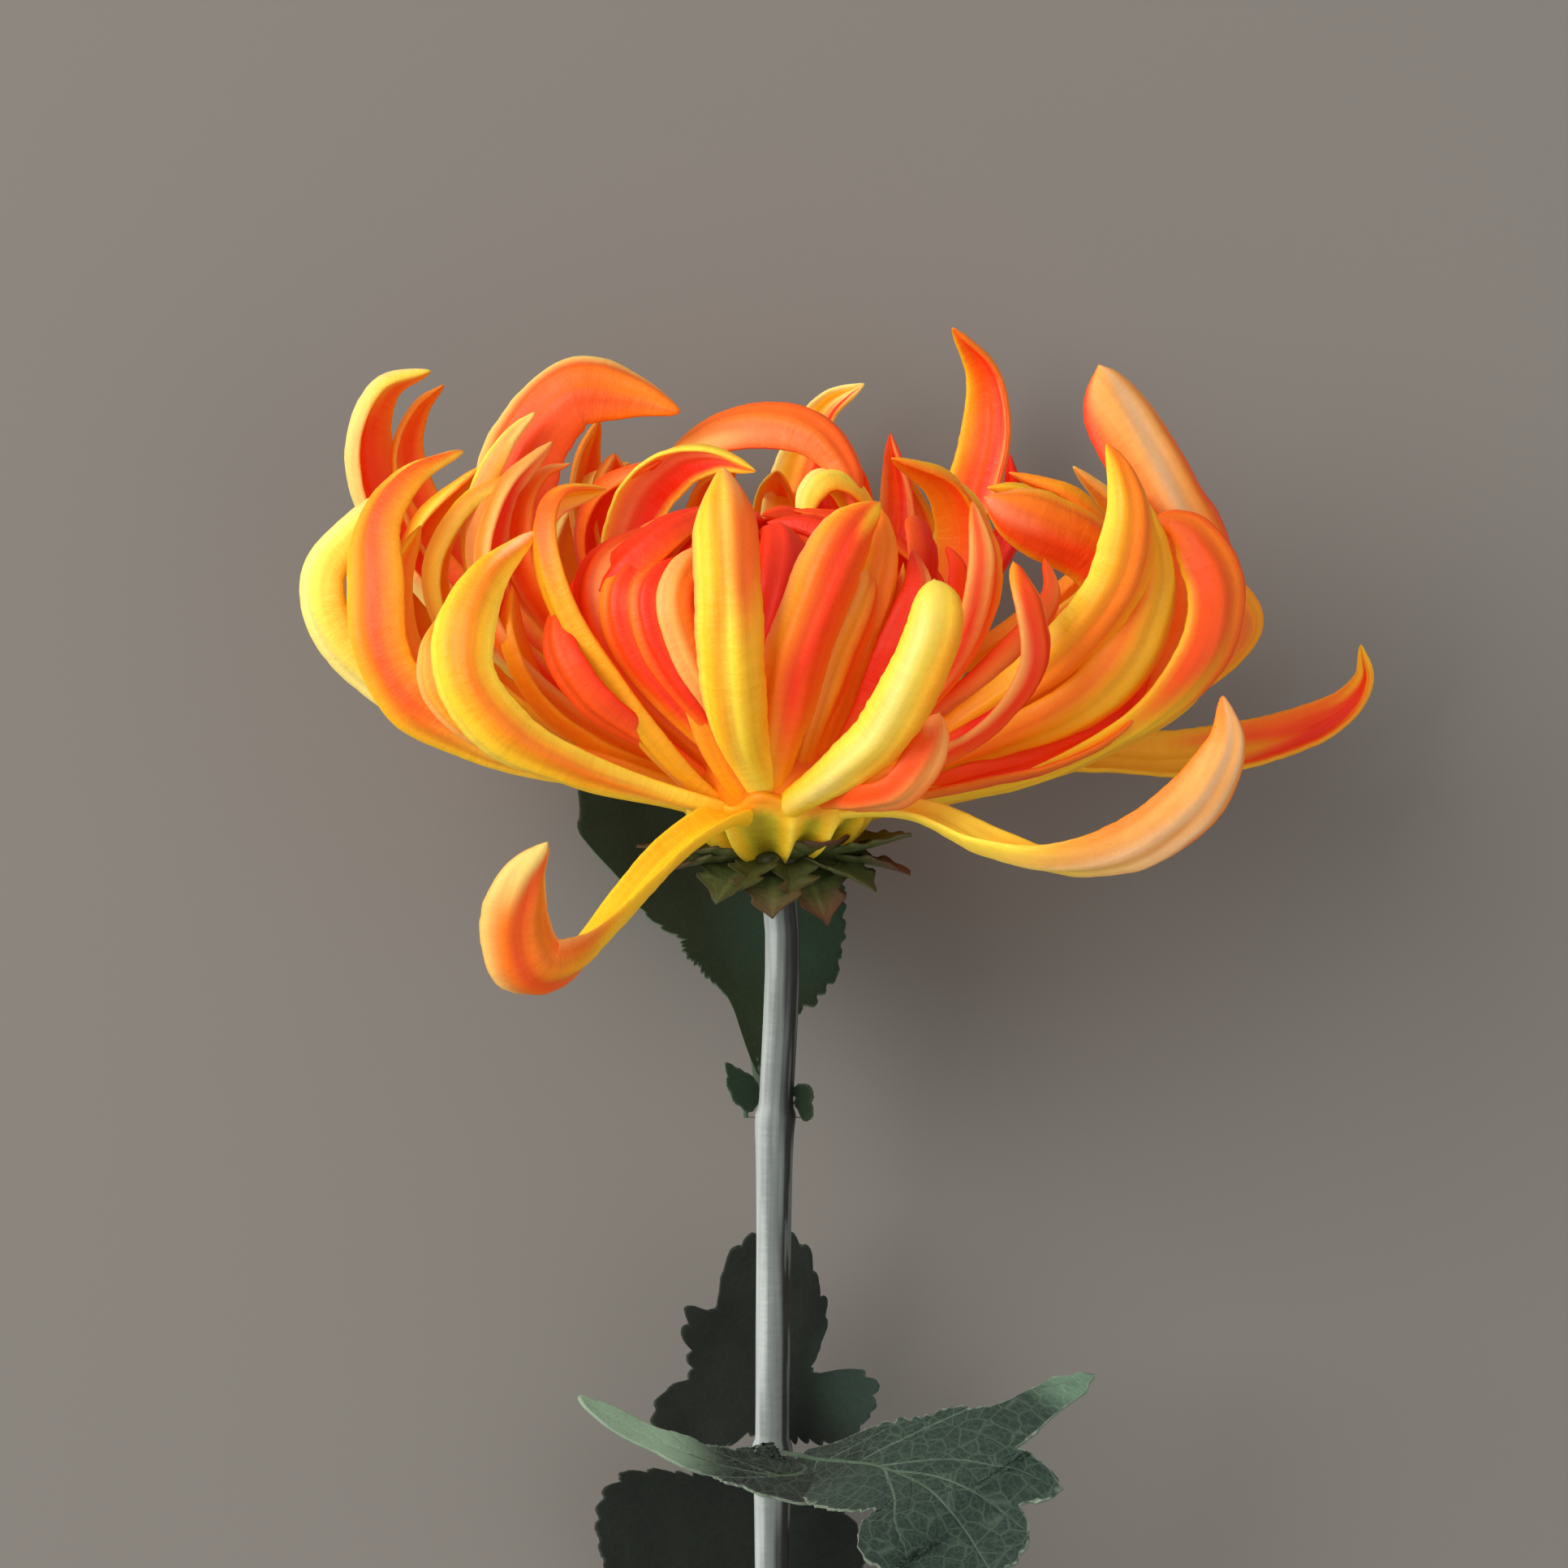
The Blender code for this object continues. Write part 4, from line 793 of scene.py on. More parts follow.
class Sheet:
    """A node tree in the making, with short calls for nodes and links."""

    def __init__(self, name: str) -> None:
        """Starts a material with its usual shader.

        Args:
            name: Name of the material.
        """
        self.material = bpy.data.materials.new(name)
        self.material.use_nodes = True
        self.tree = self.material.node_tree
        self.shader = self.tree.nodes["Principled BSDF"]

    def node(self, kind: str, settings: dict | None = None, **inputs: object) -> bpy.types.Node:
        """Adds a node.

        Args:
            kind: Its type without the ShaderNode prefix.
            settings: Properties to set on it.
            inputs: Values or output sockets for its inputs, with _ for a space in their names. An input
                without a name of its own is i and its number.

        Returns:
            The node.
        """
        made = self.tree.nodes.new("ShaderNode" + kind)
        for key, value in (settings or {}).items():
            setattr(made, key, value)
        for key, value in inputs.items():
            place = int(key[1:]) if key[0] == "i" and key[1:].isdigit() else key.replace("_", " ")
            self.feed(made.inputs[place], value)
        return made

    def feed(self, socket: bpy.types.NodeSocket, value: object) -> None:
        """Links an output to a socket, or sets its value.

        Args:
            socket: The input.
            value: What it takes.
        """
        if isinstance(value, bpy.types.NodeSocket):
            self.tree.links.new(value, socket)
        else:
            socket.default_value = value

    def shade(self, **values: object) -> None:
        """Feeds inputs of the shader, with _ for a space in their names."""
        for key, value in values.items():
            self.feed(self.shader.inputs[key.replace("_", " ")], value)

    def field(self, name: str, output: str = "Color") -> bpy.types.NodeSocket:
        """Reads a painted value of the mesh."""
        return self.node("Attribute", {"attribute_name": name}).outputs[output]

    def stretched(self, scale: Point) -> bpy.types.NodeSocket:
        """Place on the flattened piece, stretched by the scale."""
        flat = self.field("flat", "Vector")
        return self.node("Mapping", {"vector_type": "POINT"}, Vector=flat, Scale=scale).outputs[0]

    def noise(self, scale: Point, detail: float = 3.0, roughness: float = 0.55) -> bpy.types.NodeSocket:
        """Noise on the flattened piece, with this many waves for each mm."""
        return self.node("TexNoise", Vector=self.stretched(scale), Scale=1.0, Detail=detail,
                         Roughness=roughness).outputs["Fac"]

    def ranged(self, value: bpy.types.NodeSocket, source: tuple[float, float],
               target: tuple[float, float]) -> bpy.types.NodeSocket:
        """Maps a value from one range to another, clamped."""
        return self.node("MapRange", Value=value, From_Min=source[0], From_Max=source[1],
                         To_Min=target[0], To_Max=target[1]).outputs[0]

    def math(self, operation: str, first: object, second: object = 0.0) -> bpy.types.NodeSocket:
        """One sum."""
        return self.node("Math", {"operation": operation}, i0=first, i1=second).outputs[0]

    def blend(self, share: object, first: object, second: object) -> bpy.types.NodeSocket:
        """Mixes two colours: the node has its colour sockets after those for numbers and vectors."""
        return self.node("Mix", {"data_type": "RGBA"}, i0=share, i6=first, i7=second).outputs[2]

    def scaled(self, colour: object, light: bpy.types.NodeSocket) -> bpy.types.NodeSocket:
        """Makes a colour lighter or darker."""
        return self.node("VectorMath", {"operation": "SCALE"}, i0=colour, Scale=light).outputs[0]

    def bump(self, height: bpy.types.NodeSocket, depth: float, below: object = None) -> bpy.types.NodeSocket:
        """Adds fine relief.

        Args:
            height: What it follows.
            depth: How deep it is, in metres.
            below: Another relief that it lies on, if there is one.

        Returns:
            The changed normal.
        """
        made = self.node("Bump", Height=height, Strength=1.0, Distance=depth)
        if below is not None:
            self.feed(made.inputs["Normal"], below)
        return made.outputs[0]

    def grained(self, base: bpy.types.NodeSocket, grain: Grain) -> None:
        """Gives the shader a colour with blotches, streaks and fine relief.

        Args:
            base: The painted colour.
            grain: How strong each of them is.
        """
        blotch = self.ranged(self.noise((0.22, 0.16, 1.0)), NOISE_RANGE, (1 - grain.mottle, 1 + grain.mottle))
        streak = self.ranged(self.noise((1.5, 0.05, 1.0), 4.0), NOISE_RANGE,
                             (1 - grain.streak, 1 + grain.streak))
        gloss = self.ranged(self.noise((0.6, 0.3, 1.0)), NOISE_RANGE, grain.roughness)
        fine = self.noise((grain.across, grain.along, 1.0), 5.0, 0.6)
        wrinkle = self.noise((0.35, 0.9, 1.0), 2.0)
        relief = self.bump(wrinkle, grain.relief * 2.5)
        self.shade(Base_Color=self.scaled(base, self.math("MULTIPLY", blotch, streak)), Roughness=gloss,
                   Normal=self.bump(fine, grain.relief, relief))
        if grain.scatter:
            self.shade(Subsurface_Weight=grain.scatter, Subsurface_Radius=(1.0, 0.35, 0.12),
                       Subsurface_Scale=1.6 * MM)


@dataclass(frozen=True)
class PetalFinish:
    """Soft satin petal with painted colours, long faint streaks, skin-like relief and a faint painted glow.

    Attributes:
        grain: Its blotches, streaks and relief.
        specular: How strongly it mirrors.
        painted_glow: Painted glow in its own colour, standing in for light shining through from the petals
            behind.
    """

    grain: Grain = Grain((0.42, 0.58), 0.00006, 3.2, 2.6, 0.05, 0.06, 0.30)
    specular: float = 0.35
    painted_glow: float = 0.07

    def material(self) -> bpy.types.Material:
        """Makes the finish.

        Returns:
            The material.
        """
        sheet = Sheet("petal_skin")
        tint = sheet.field("tint")
        sheet.grained(tint, self.grain)
        # Emission in the petal's own colour is a painted glow: the petals are no lamps.
        sheet.shade(Specular_IOR_Level=self.specular, Emission_Color=tint, Emission_Strength=self.painted_glow)
        return sheet.material


@dataclass(frozen=True)
class SkinFinish:
    """Painted skin with lengthwise streaks.

    Attributes:
        name: Name of the finish.
        grain: Its blotches, streaks and relief.
    """

    name: str
    grain: Grain

    def material(self) -> bpy.types.Material:
        """Makes the finish.

        Returns:
            The material.
        """
        sheet = Sheet(self.name)
        sheet.grained(sheet.field("tint"), self.grain)
        return sheet.material


BRACT_FINISH = SkinFinish("bract_skin", Grain((0.5, 0.7), 0.00008, 2.2, 0.3, 0.12, 0.16, 0.0))
STEM_FINISH = SkinFinish("stem_skin", Grain((0.34, 0.5), 0.00005, 2.5, 0.12, 0.05, 0.14, 0.0))


@dataclass(frozen=True)
class LeafFinish:
    """Dark leaf with pale veins, a fine net between them and a cloth-like surface.

    Attributes:
        name: Name of the finish.
        print_share: How strongly the veins show.
        net_share: How strongly the net between them shows.
        fray_share: How strongly the worn edge shows.
        vein: Colour of the veins.
        cells: Meshes of the fine net for each mm.
        fray: Colour of the worn edge.
        vein_relief: Depth of the sunk veins, in metres.
        fibre_relief: Depth of the cloth-like surface, in metres.
    """

    name: str
    print_share: float
    net_share: float
    fray_share: float
    vein: Light = (0.30, 0.44, 0.31, 1.0)
    cells: float = 0.42
    fray: Light = (0.42, 0.50, 0.40, 1.0)
    vein_relief: float = -0.00012
    fibre_relief: float = 0.00008

    def net(self, sheet: Sheet, size: float, line: float, strength: float) -> bpy.types.NodeSocket:
        """Draws a net of fine lines.

        Args:
            sheet: The finish in the making.
            size: How many times finer it is than the widest net.
            line: Width of its lines, as a share of a mesh.
            strength: How strongly it shows.

        Returns:
            Its strength from place to place.
        """
        flat = sheet.stretched((self.cells, self.cells, 1.0))
        gap = sheet.node("TexVoronoi", {"feature": "DISTANCE_TO_EDGE"}, Vector=flat, Scale=size).outputs[0]
        return sheet.ranged(gap, (0.0, line), (strength, 0.0))

    def material(self) -> bpy.types.Material:
        """Makes the finish.

        Returns:
            The material.
        """
        sheet = Sheet(self.name)
        nets = sheet.math("MAXIMUM", self.net(sheet, 1.0, 0.07, self.net_share),
                          self.net(sheet, 2.6, 0.12, self.net_share * 0.5))
        rib = sheet.ranged(sheet.field("vein", "Fac"), (0.22, 0.0), (0.0, self.print_share))
        printed = sheet.math("MAXIMUM", nets, rib)
        toned = sheet.blend(printed, sheet.field("tint"), self.vein)
        edge = sheet.ranged(sheet.field("edge", "Fac"), (0.4, 0.0), (0.0, self.fray_share))
        tufts = sheet.ranged(sheet.noise((1.2, 1.2, 1.0)), (0.35, 0.6), (0.1, 1.0))
        toned = sheet.blend(sheet.math("MULTIPLY", edge, tufts), toned, self.fray)
        fibre = sheet.noise((3.2, 3.2, 1.0), 5.0, 0.7)
        light = sheet.ranged(fibre, NOISE_RANGE, (0.82, 1.2))
        relief = sheet.bump(fibre, self.fibre_relief, sheet.bump(printed, self.vein_relief))
        sheet.shade(Base_Color=sheet.scaled(toned, light), Roughness=0.72, Sheen_Weight=0.08,
                    Sheen_Roughness=0.5, Specular_IOR_Level=0.2, Normal=relief)
        return sheet.material


@dataclass(frozen=True)
class FloorFinish:
    """Plain pale floor.

    Attributes:
        colour: Its linear colour.
        roughness: How matt it is.
    """

    colour: Light = (0.20, 0.187, 0.172, 1.0)
    roughness: float = 0.85

    def material(self) -> bpy.types.Material:
        """Makes the finish.

        Returns:
            The material.
        """
        sheet = Sheet("pale_floor")
        sheet.shade(Base_Color=self.colour, Roughness=self.roughness)
        return sheet.material


@dataclass
class Bloom:
    """All petals on their receptacle, with the pleated skirt that they run out of.

    Attributes:
        thickness: Of a petal at its middle, in mm.
        root_radius: Where the petals' roots start, from the axis.
        root_heights: The lowest and the highest place of a root on the receptacle.
        focus: Height on the axis that the inner sides face.
        ridge: Height of the long ridges.
        waves: How far the skin swells and sinks.
        columns: Points across a petal that shows.
        stations: Points along it.
        far_columns: Points across a petal of the hidden rows.
        far_stations: Points along it.
        lean: Lean of the inner ball to the left, for each mm of height.
        skirt: Radius and height of the skirt, from the calyx up.
        pleats: Number of the skirt's folds.
        pleat_depth: How far each fold stands out.
        core: Radius and height of the receptacle, from the top down.
        root_arc: Angle that a petal's cross-section is curled through at its root, in degrees.
        opening: How far it opens out from the root on, in degrees.
        closing: How far it closes again at the tip, in degrees.
        finish: The petals' finish.
    """

    thickness: float = 0.9
    root_radius: float = 5.5
    root_heights: tuple[float, float] = (2.2, 11.5)
    focus: float = 42.0
    ridge: float = 0.34
    waves: float = 0.16
    columns: int = 17
    stations: int = 104
    far_columns: int = 13
    far_stations: int = 44
    lean: float = -0.0625
    skirt: Profile = (
        (3.2, -0.9), (5.0, -0.4), (7.2, 1.0), (9.4, 2.6), (11.4, 4.3), (12.6, 6.2))
    pleats: int = 13
    pleat_depth: float = 1.8
    core: Profile = (
        (0.0, 19.0), (6.0, 18.0), (10.6, 14.6), (12.8, 9.6), (11.8, 5.8), (8.0, 3.4))
    root_arc: float = 165.0
    opening: float = 55.0
    closing: float = 40.0
    finish: PetalFinish = field(default_factory=PetalFinish)

    def frames(self, line: list[Vector], turn: tuple[float, ...]) -> tuple[np.ndarray, ...]:
        """Follows a petal's line with a frame that doesn't twist but by the turn asked for.

        Args:
            line: Points of the middle line.
            turn: Roll of the inner side towards the viewer, in degrees, from root to tip.

        Returns:
            Points, directions along, directions to the inner side, and directions sideways.
        """
        normal = Vector((0, 0, self.focus)) - line[0]
        side = 1 if line[len(line) // 2].x >= 0 else -1
        rows = []
        for i, p in enumerate(line):
            tangent = (line[min(i + 1, len(line) - 1)] - line[max(i - 1, 0)]).normalized()
            normal = (normal - tangent * normal.dot(tangent)).normalized()
            roll = math.radians(between(turn, i / (len(line) - 1))) * side
            inward = Quaternion(tangent, roll) @ normal
            rows.append((p, tangent, inward, tangent.cross(inward)))
        return tuple(np.array([row[k] for row in rows]) for k in range(4))

    def widths(self, t: np.ndarray, outline: Outline) -> np.ndarray:
        """Draws out a petal's outline: a strap, a broad blade and a drawn-out point.

        Args:
            t: Shares of the length.
            outline: The kind of outline.

        Returns:
            Shares of the full width.
        """
        strap = outline.strap + (1 - outline.strap) * eased(t, *outline.widen)
        fall = np.clip((t - 1 + outline.point) / outline.point, 0, 1)
        return strap * (1 - fall ** outline.blunt * 0.93)

    def arcs(self, t: np.ndarray, curl: float) -> np.ndarray:
        """Works out how far a petal's cross-section is curled.

        Args:
            t: Shares of the length.
            curl: Share of the usual curl.

        Returns:
            The angle that it is curled through at each place, in radians.
        """
        opened = np.minimum(1.0, t / 0.6)
        closed = np.clip((t - 0.75) / 0.25, 0, 1)
        return np.radians(self.root_arc - self.opening * opened + self.closing * closed) * curl

    def skin(self, colours: Colours, t: np.ndarray, s: np.ndarray, inner: np.ndarray,
             phase: float) -> np.ndarray:
        """Paints a petal.

        Args:
            colours: Its colouring.
            t: Share of the length at each point.
            s: Place across, from -1 at the viewer's left to 1.
            inner: 1 on the inner side, 0 on the outer one and a half on the rim.
            phase: Number that its irregularities come from.

        Returns:
            Linear colours.
        """
        def plain(name: str) -> np.ndarray:
            """One paint at every point."""
            return np.broadcast_to(Paint[name.upper()].linear, (*t.shape, 4))

        drift = 0.05 * np.sin(t * 7 + phase) + 0.03 * np.sin(t * 17 + phase * 2)
        place = (s + 1) / 2 + drift * (1 - s * s)
        root = plain(colours.root)
        reached = t + 0.06 * np.sin(s * 5 + phase)
        outside = mixed(root, Paint.bands(colours.outer, place), eased(reached, colours.start, colours.full))
        inside = mixed(root, Paint.bands(colours.inner, place),
                       eased(reached, colours.start - 0.06, colours.full - 0.05))
        if colours.flush:
            half = eased(s * colours.flush_side, -0.1, 0.5) if colours.flush_side else np.ones_like(s)
            grown = eased(reached, colours.flush_from, colours.flush_from + 0.2) * half
            outside = mixed(outside, plain(colours.flush), grown * 0.85)
        # Darkening along the grooves of the outer side: painted shade in the creases.
        groove = bell(np.abs(s), 0.5, 0.06) + bell(s, 0, 0.05)
        outside = outside * (1 - 0.10 * groove * eased(t, 0.1, 0.3))[..., None]
        skin = mixed(outside, inside, inner)
        if colours.rim:
            edge = eased(np.abs(s), 0.80, 0.99) * eased(t, colours.start, colours.full)
            skin = mixed(skin, plain(colours.rim), edge * 0.85)
        return mixed(skin, plain(colours.tip), eased(reached, 0.90, 1.02) * 0.8)

    def folds(self, t: np.ndarray, s: np.ndarray, wide: np.ndarray, steps: np.ndarray,
              phase: float) -> np.ndarray:
        """Works out a petal's long ridges and the soft swellings of its skin.

        Args:
            t: Shares of the length, one row each.
            s: Places across, one column each.
            wide: Width at each row, in mm.
            steps: Length up to each row, in mm.
            phase: Number that its irregularities come from.

        Returns:
            How far the skin is raised at each point, in mm.
        """
        swell = np.array([[noise.noise(Vector((width * across * 0.16, at * 0.2, phase)))
                           + 0.45 * noise.noise(Vector((width * across * 0.5, at * 0.62, phase + 9)))
                           for across in s[0]] for width, at in zip(wide[:, 0], steps)])
        raised = eased(t, 0.1, 0.4) * (1 - eased(t, 0.88, 1.0)) * np.minimum(1.0, wide / 6)
        ridges = self.ridge * raised * (0.7 * bell(s, 0, 0.13) - bell(np.abs(s), 0.30, 0.15))
        return ridges + self.waves * swell * raised

    def section(self, s: np.ndarray, wide: np.ndarray, arc: np.ndarray,
                fold: np.ndarray) -> tuple[np.ndarray, np.ndarray]:
        """Lays out a petal's closed cross-sections: the outer side, a rim, the inner side and a rim.

        Args:
            s: Places across, one column each.
            wide: Width at each row, in mm.
            arc: Angle that each row is curled through, in radians.
            fold: How far the skin is raised at each point, in mm.

        Returns:
            Places of each ring's points, sideways and to the inner side, in mm.
        """
        radius, angle = wide / arc, arc / 2 * s
        x = radius * np.sin(angle)
        y = radius * (1 - np.cos(angle)) - radius * (1 - np.cos(arc / 2)) / 2
        taper = np.minimum(1.0, wide / (self.thickness * 2.2))
        half = self.thickness / 2 * taper * (1 - 0.1 * bell(np.abs(s), 0.7, 0.2) - 0.45 * np.abs(s) ** 4)
        outer, inner = ((x - np.sin(angle) * level, y + np.cos(angle) * level)
                        for level in (fold - half, fold + half))
        rims = []
        for column, sign in ((-1, 1), (0, -1)):
            out = half[:, column] * 0.95 * sign
            rims.append(((x[:, column] + np.cos(angle[:, column]) * out)[:, None],
                         (y[:, column] + np.sin(angle[:, column]) * out)[:, None]))
        return tuple(np.hstack([outer[k], rims[0][k], inner[k][:, ::-1], rims[1][k]]) for k in range(2))

    def add_petal(self, draft: Draft, seed: int, points: list[Vector], shape: Petal,
                  near: bool = True) -> None:
        """Adds one petal.

        Args:
            draft: The piece that it goes into.
            seed: Number that its small irregularities come from.
            points: Its middle line in the flower's own frame, without the root.
            shape: Its width, roll, outline, colouring and curl.
            near: Whether it shows closely.
        """
        columns, stations = (self.columns, self.stations) if near else (self.far_columns, self.far_stations)
        first = points[0]
        outward = Vector((first.x, first.y, 0)).normalized()
        lowest, highest = self.root_heights
        root = outward * self.root_radius + Vector((0, 0, max(lowest, min(highest, first.z * 0.62))))
        line = smooth_line([root, *points], stations)
        spine, along, inward, sideways = self.frames(line, shape.turn)
        length = sum((q - p).length for p, q in zip(line, line[1:]))
        t = np.linspace(0, 1, stations)[:, None]
        s = np.linspace(-1, 1, columns)[None, :]
        phase = seed * 7.31
        steps = t[:, 0] * length
        wobble = np.array([noise.noise(Vector((at * 0.12, phase, 0))) * 0.10
                           + noise.noise(Vector((at * 0.9, phase, 5))) * 0.03 for at in steps])[:, None]
        wide = shape.width * self.widths(t, shape.cut.value) * (1 + wobble)
        ring_x, ring_y = self.section(s, wide, self.arcs(t, shape.curl),
                                      self.folds(t, s, wide, steps, phase))
        one = np.ones((stations, 1))
        ring_s = np.hstack([one * s, one, (one * s)[:, ::-1], -one])
        side = np.hstack([np.zeros((stations, columns)), one * 0.5, np.ones((stations, columns)), one * 0.5])
        ring_t = np.broadcast_to(t, ring_s.shape)
        places = (spine[:, None, :] + sideways[:, None, :] * ring_x[..., None]
                  + inward[:, None, :] * ring_y[..., None])
        middle = sideways[int(stations * 0.7)]
        to_right = 1.0 if middle[0] - 0.3 * middle[2] >= 0 else -1.0
        tints = self.skin(shape.colours, ring_t, ring_s * to_right, side, phase)
        flats = np.stack([ring_s * wide / 2, ring_t * length, np.full(ring_s.shape, phase) + side * 3.3],
                         axis=-1)
        ends = np.array([spine[0] - along[0] * 0.2, spine[-1] + along[-1] * 0.35])
        draft.tube(places, tints, flats, ends)
        LOG.debug("petal %s: %.0f mm long", shape.name, length)

    def placed(self, name: str, petals: tuple[Petal, ...], first_seed: int) -> None:
        """Builds one group of the petals that are listed one by one.

        Args:
            name: Name of the group.
            petals: The petals.
            first_seed: Number that the first one's irregularities come from.
        """
        draft = Draft()
        for k, petal in enumerate(petals):
            self.add_petal(draft, first_seed + k, [EYE.place(p) for p in petal.line], petal)
        self.finished(name, draft)

    def finished(self, name: str, draft: Draft) -> None:
        """Turns a draft into a dressed piece that stands for the bloom."""
        draft.piece(name, self.skin_material, ("bloom",))

    def rear(self, draw: random.Random) -> None:
        """Builds the rows behind, which the bloom rests on.

        Args:
            draw: Where the small irregularities come from.
        """
        draft = Draft()
        for r, row in enumerate(REAR_ROWS):
            for k in range(row.count):
                azimuth = math.radians(row.first + k * row.step)
                reach = 1 + (draw.uniform(-0.04, 0.04) if r else 0)
                points = [Vector((radius * math.cos(azimuth), radius * math.sin(azimuth), z)) * reach
                          for radius, z in row.line]
                turn = (draw.uniform(-12, 12), draw.uniform(-20, 20)) if r else (0.0, 0.0)
                seed = REAR_SEED + r * ROW_SEEDS + k
                self.add_petal(draft, seed, points, row.petal("rear", k, turn), False)
        self.finished("petals_rear", draft)

    def ball(self, draw: random.Random) -> None:
        """Builds the incurved petals in the middle, round the receptacle.

        Args:
            draw: Where the small irregularities come from.
        """
        draft = Draft()
        for r, row in enumerate(BALL_ROWS):
            for k in range(row.count):
                azimuth = math.radians(row.first + k * row.step + draw.uniform(-5, 5))
                swirl = math.radians(draw.uniform(4, 16))
                height = draw.uniform(0.96, 1.04)
                points = []
                for i, (radius, z) in enumerate(row.line):
                    at = azimuth + swirl * i
                    points.append(Vector((radius * math.cos(at) + self.lean * z, radius * math.sin(at),
                                          z * height)))
                seed = BALL_SEED + r * ROW_SEEDS + k
                self.add_petal(draft, seed, points, row.petal("ball", k), False)
        heights = np.array([z for _, z in reversed(self.core)])
        shares = (heights - heights[0]) / (heights[-1] - heights[0])
        draft.turned(self.core[::-1], mixed(Paint.AMBER.linear, Paint.RED.linear, shares))
        self.finished("petals_ball", draft)

    def pleated_skirt(self) -> None:
        """Builds the yellow skirt whose folds reach down to the calyx."""
        draft = Draft()
        steps, rows = self.pleats * 18, 30
        turn = np.linspace(0, math.tau, steps, endpoint=False)
        reach = np.linspace(0, 1, rows)
        knots = np.linspace(0, 1, len(self.skirt))
        radii = np.interp(reach, knots, [r for r, _ in self.skirt])
        heights = np.interp(reach, knots, [z for _, z in self.skirt])
        swing = 0.16 * np.sin(3 * turn + 1.0) + 0.10 * np.sin(5 * turn)
        crest = 1 - np.abs(np.sin(self.pleats / 2 * (turn + swing)))
        waves = np.sin(7 * turn + 0.4) + 0.7 * np.sin(11 * turn + 2.0)
        first = draft.count
        layers = [(reach[i], radii[i], heights[i], 0.0) for i in range(rows)]
        layers += [(reach[i], radii[i], heights[i] + self.thickness, 1.0) for i in reversed(range(rows))]
        for share, radius, z, upper in layers:
            swell = math.sin(math.pi * min(1.0, 0.12 + share * 0.9)) * (1 - 0.6 * upper)
            fold = self.pleat_depth * crest ** 1.4 * swell
            ring = radius + fold * 0.7 + waves * 0.5 * share
            places = np.stack([ring * np.cos(turn), ring * np.sin(turn),
                               z - fold * 0.9 + waves * share * 0.6], axis=-1)
            # Painted shade and highlight: moss and olive in the hollows between folds, lighter on the crests
            # and upward.
            light = np.clip(crest * 0.85 + share * 0.3, 0, 1)
            tint = mixed(Paint.bands("moss olive yellow lemon", light),
                         Paint.bands("orange amber yellow", light), np.full(steps, eased(share, 0.75, 1.0)))
            draft.add(places, tint, places)
        draft.ring_faces(first, len(layers), steps)
        last = first + (len(layers) - 1) * steps
        for k in range(steps):
            n = (k + 1) % steps
            draft.faces.append((last + k, last + n, first + n, first + k))
        self.finished("petal_skirt", draft)

    def build(self) -> None:
        """Builds the whole bloom."""
        self.skin_material = self.finish.material()
        for name, petals, first_seed in (("petals_left", LEFT_PETALS, 1), ("petals_front", FRONT_PETALS, 40),
                                         ("petals_right", RIGHT_PETALS, 60), ("petals_top", TOP_PETALS, 90),
                                         ("petals_crown", BALL_PETALS, 120)):
            self.placed(name, petals, first_seed)
        draw = random.Random(RANDOM_SEED)
        self.rear(draw)
        self.ball(draw)
        self.pleated_skirt()


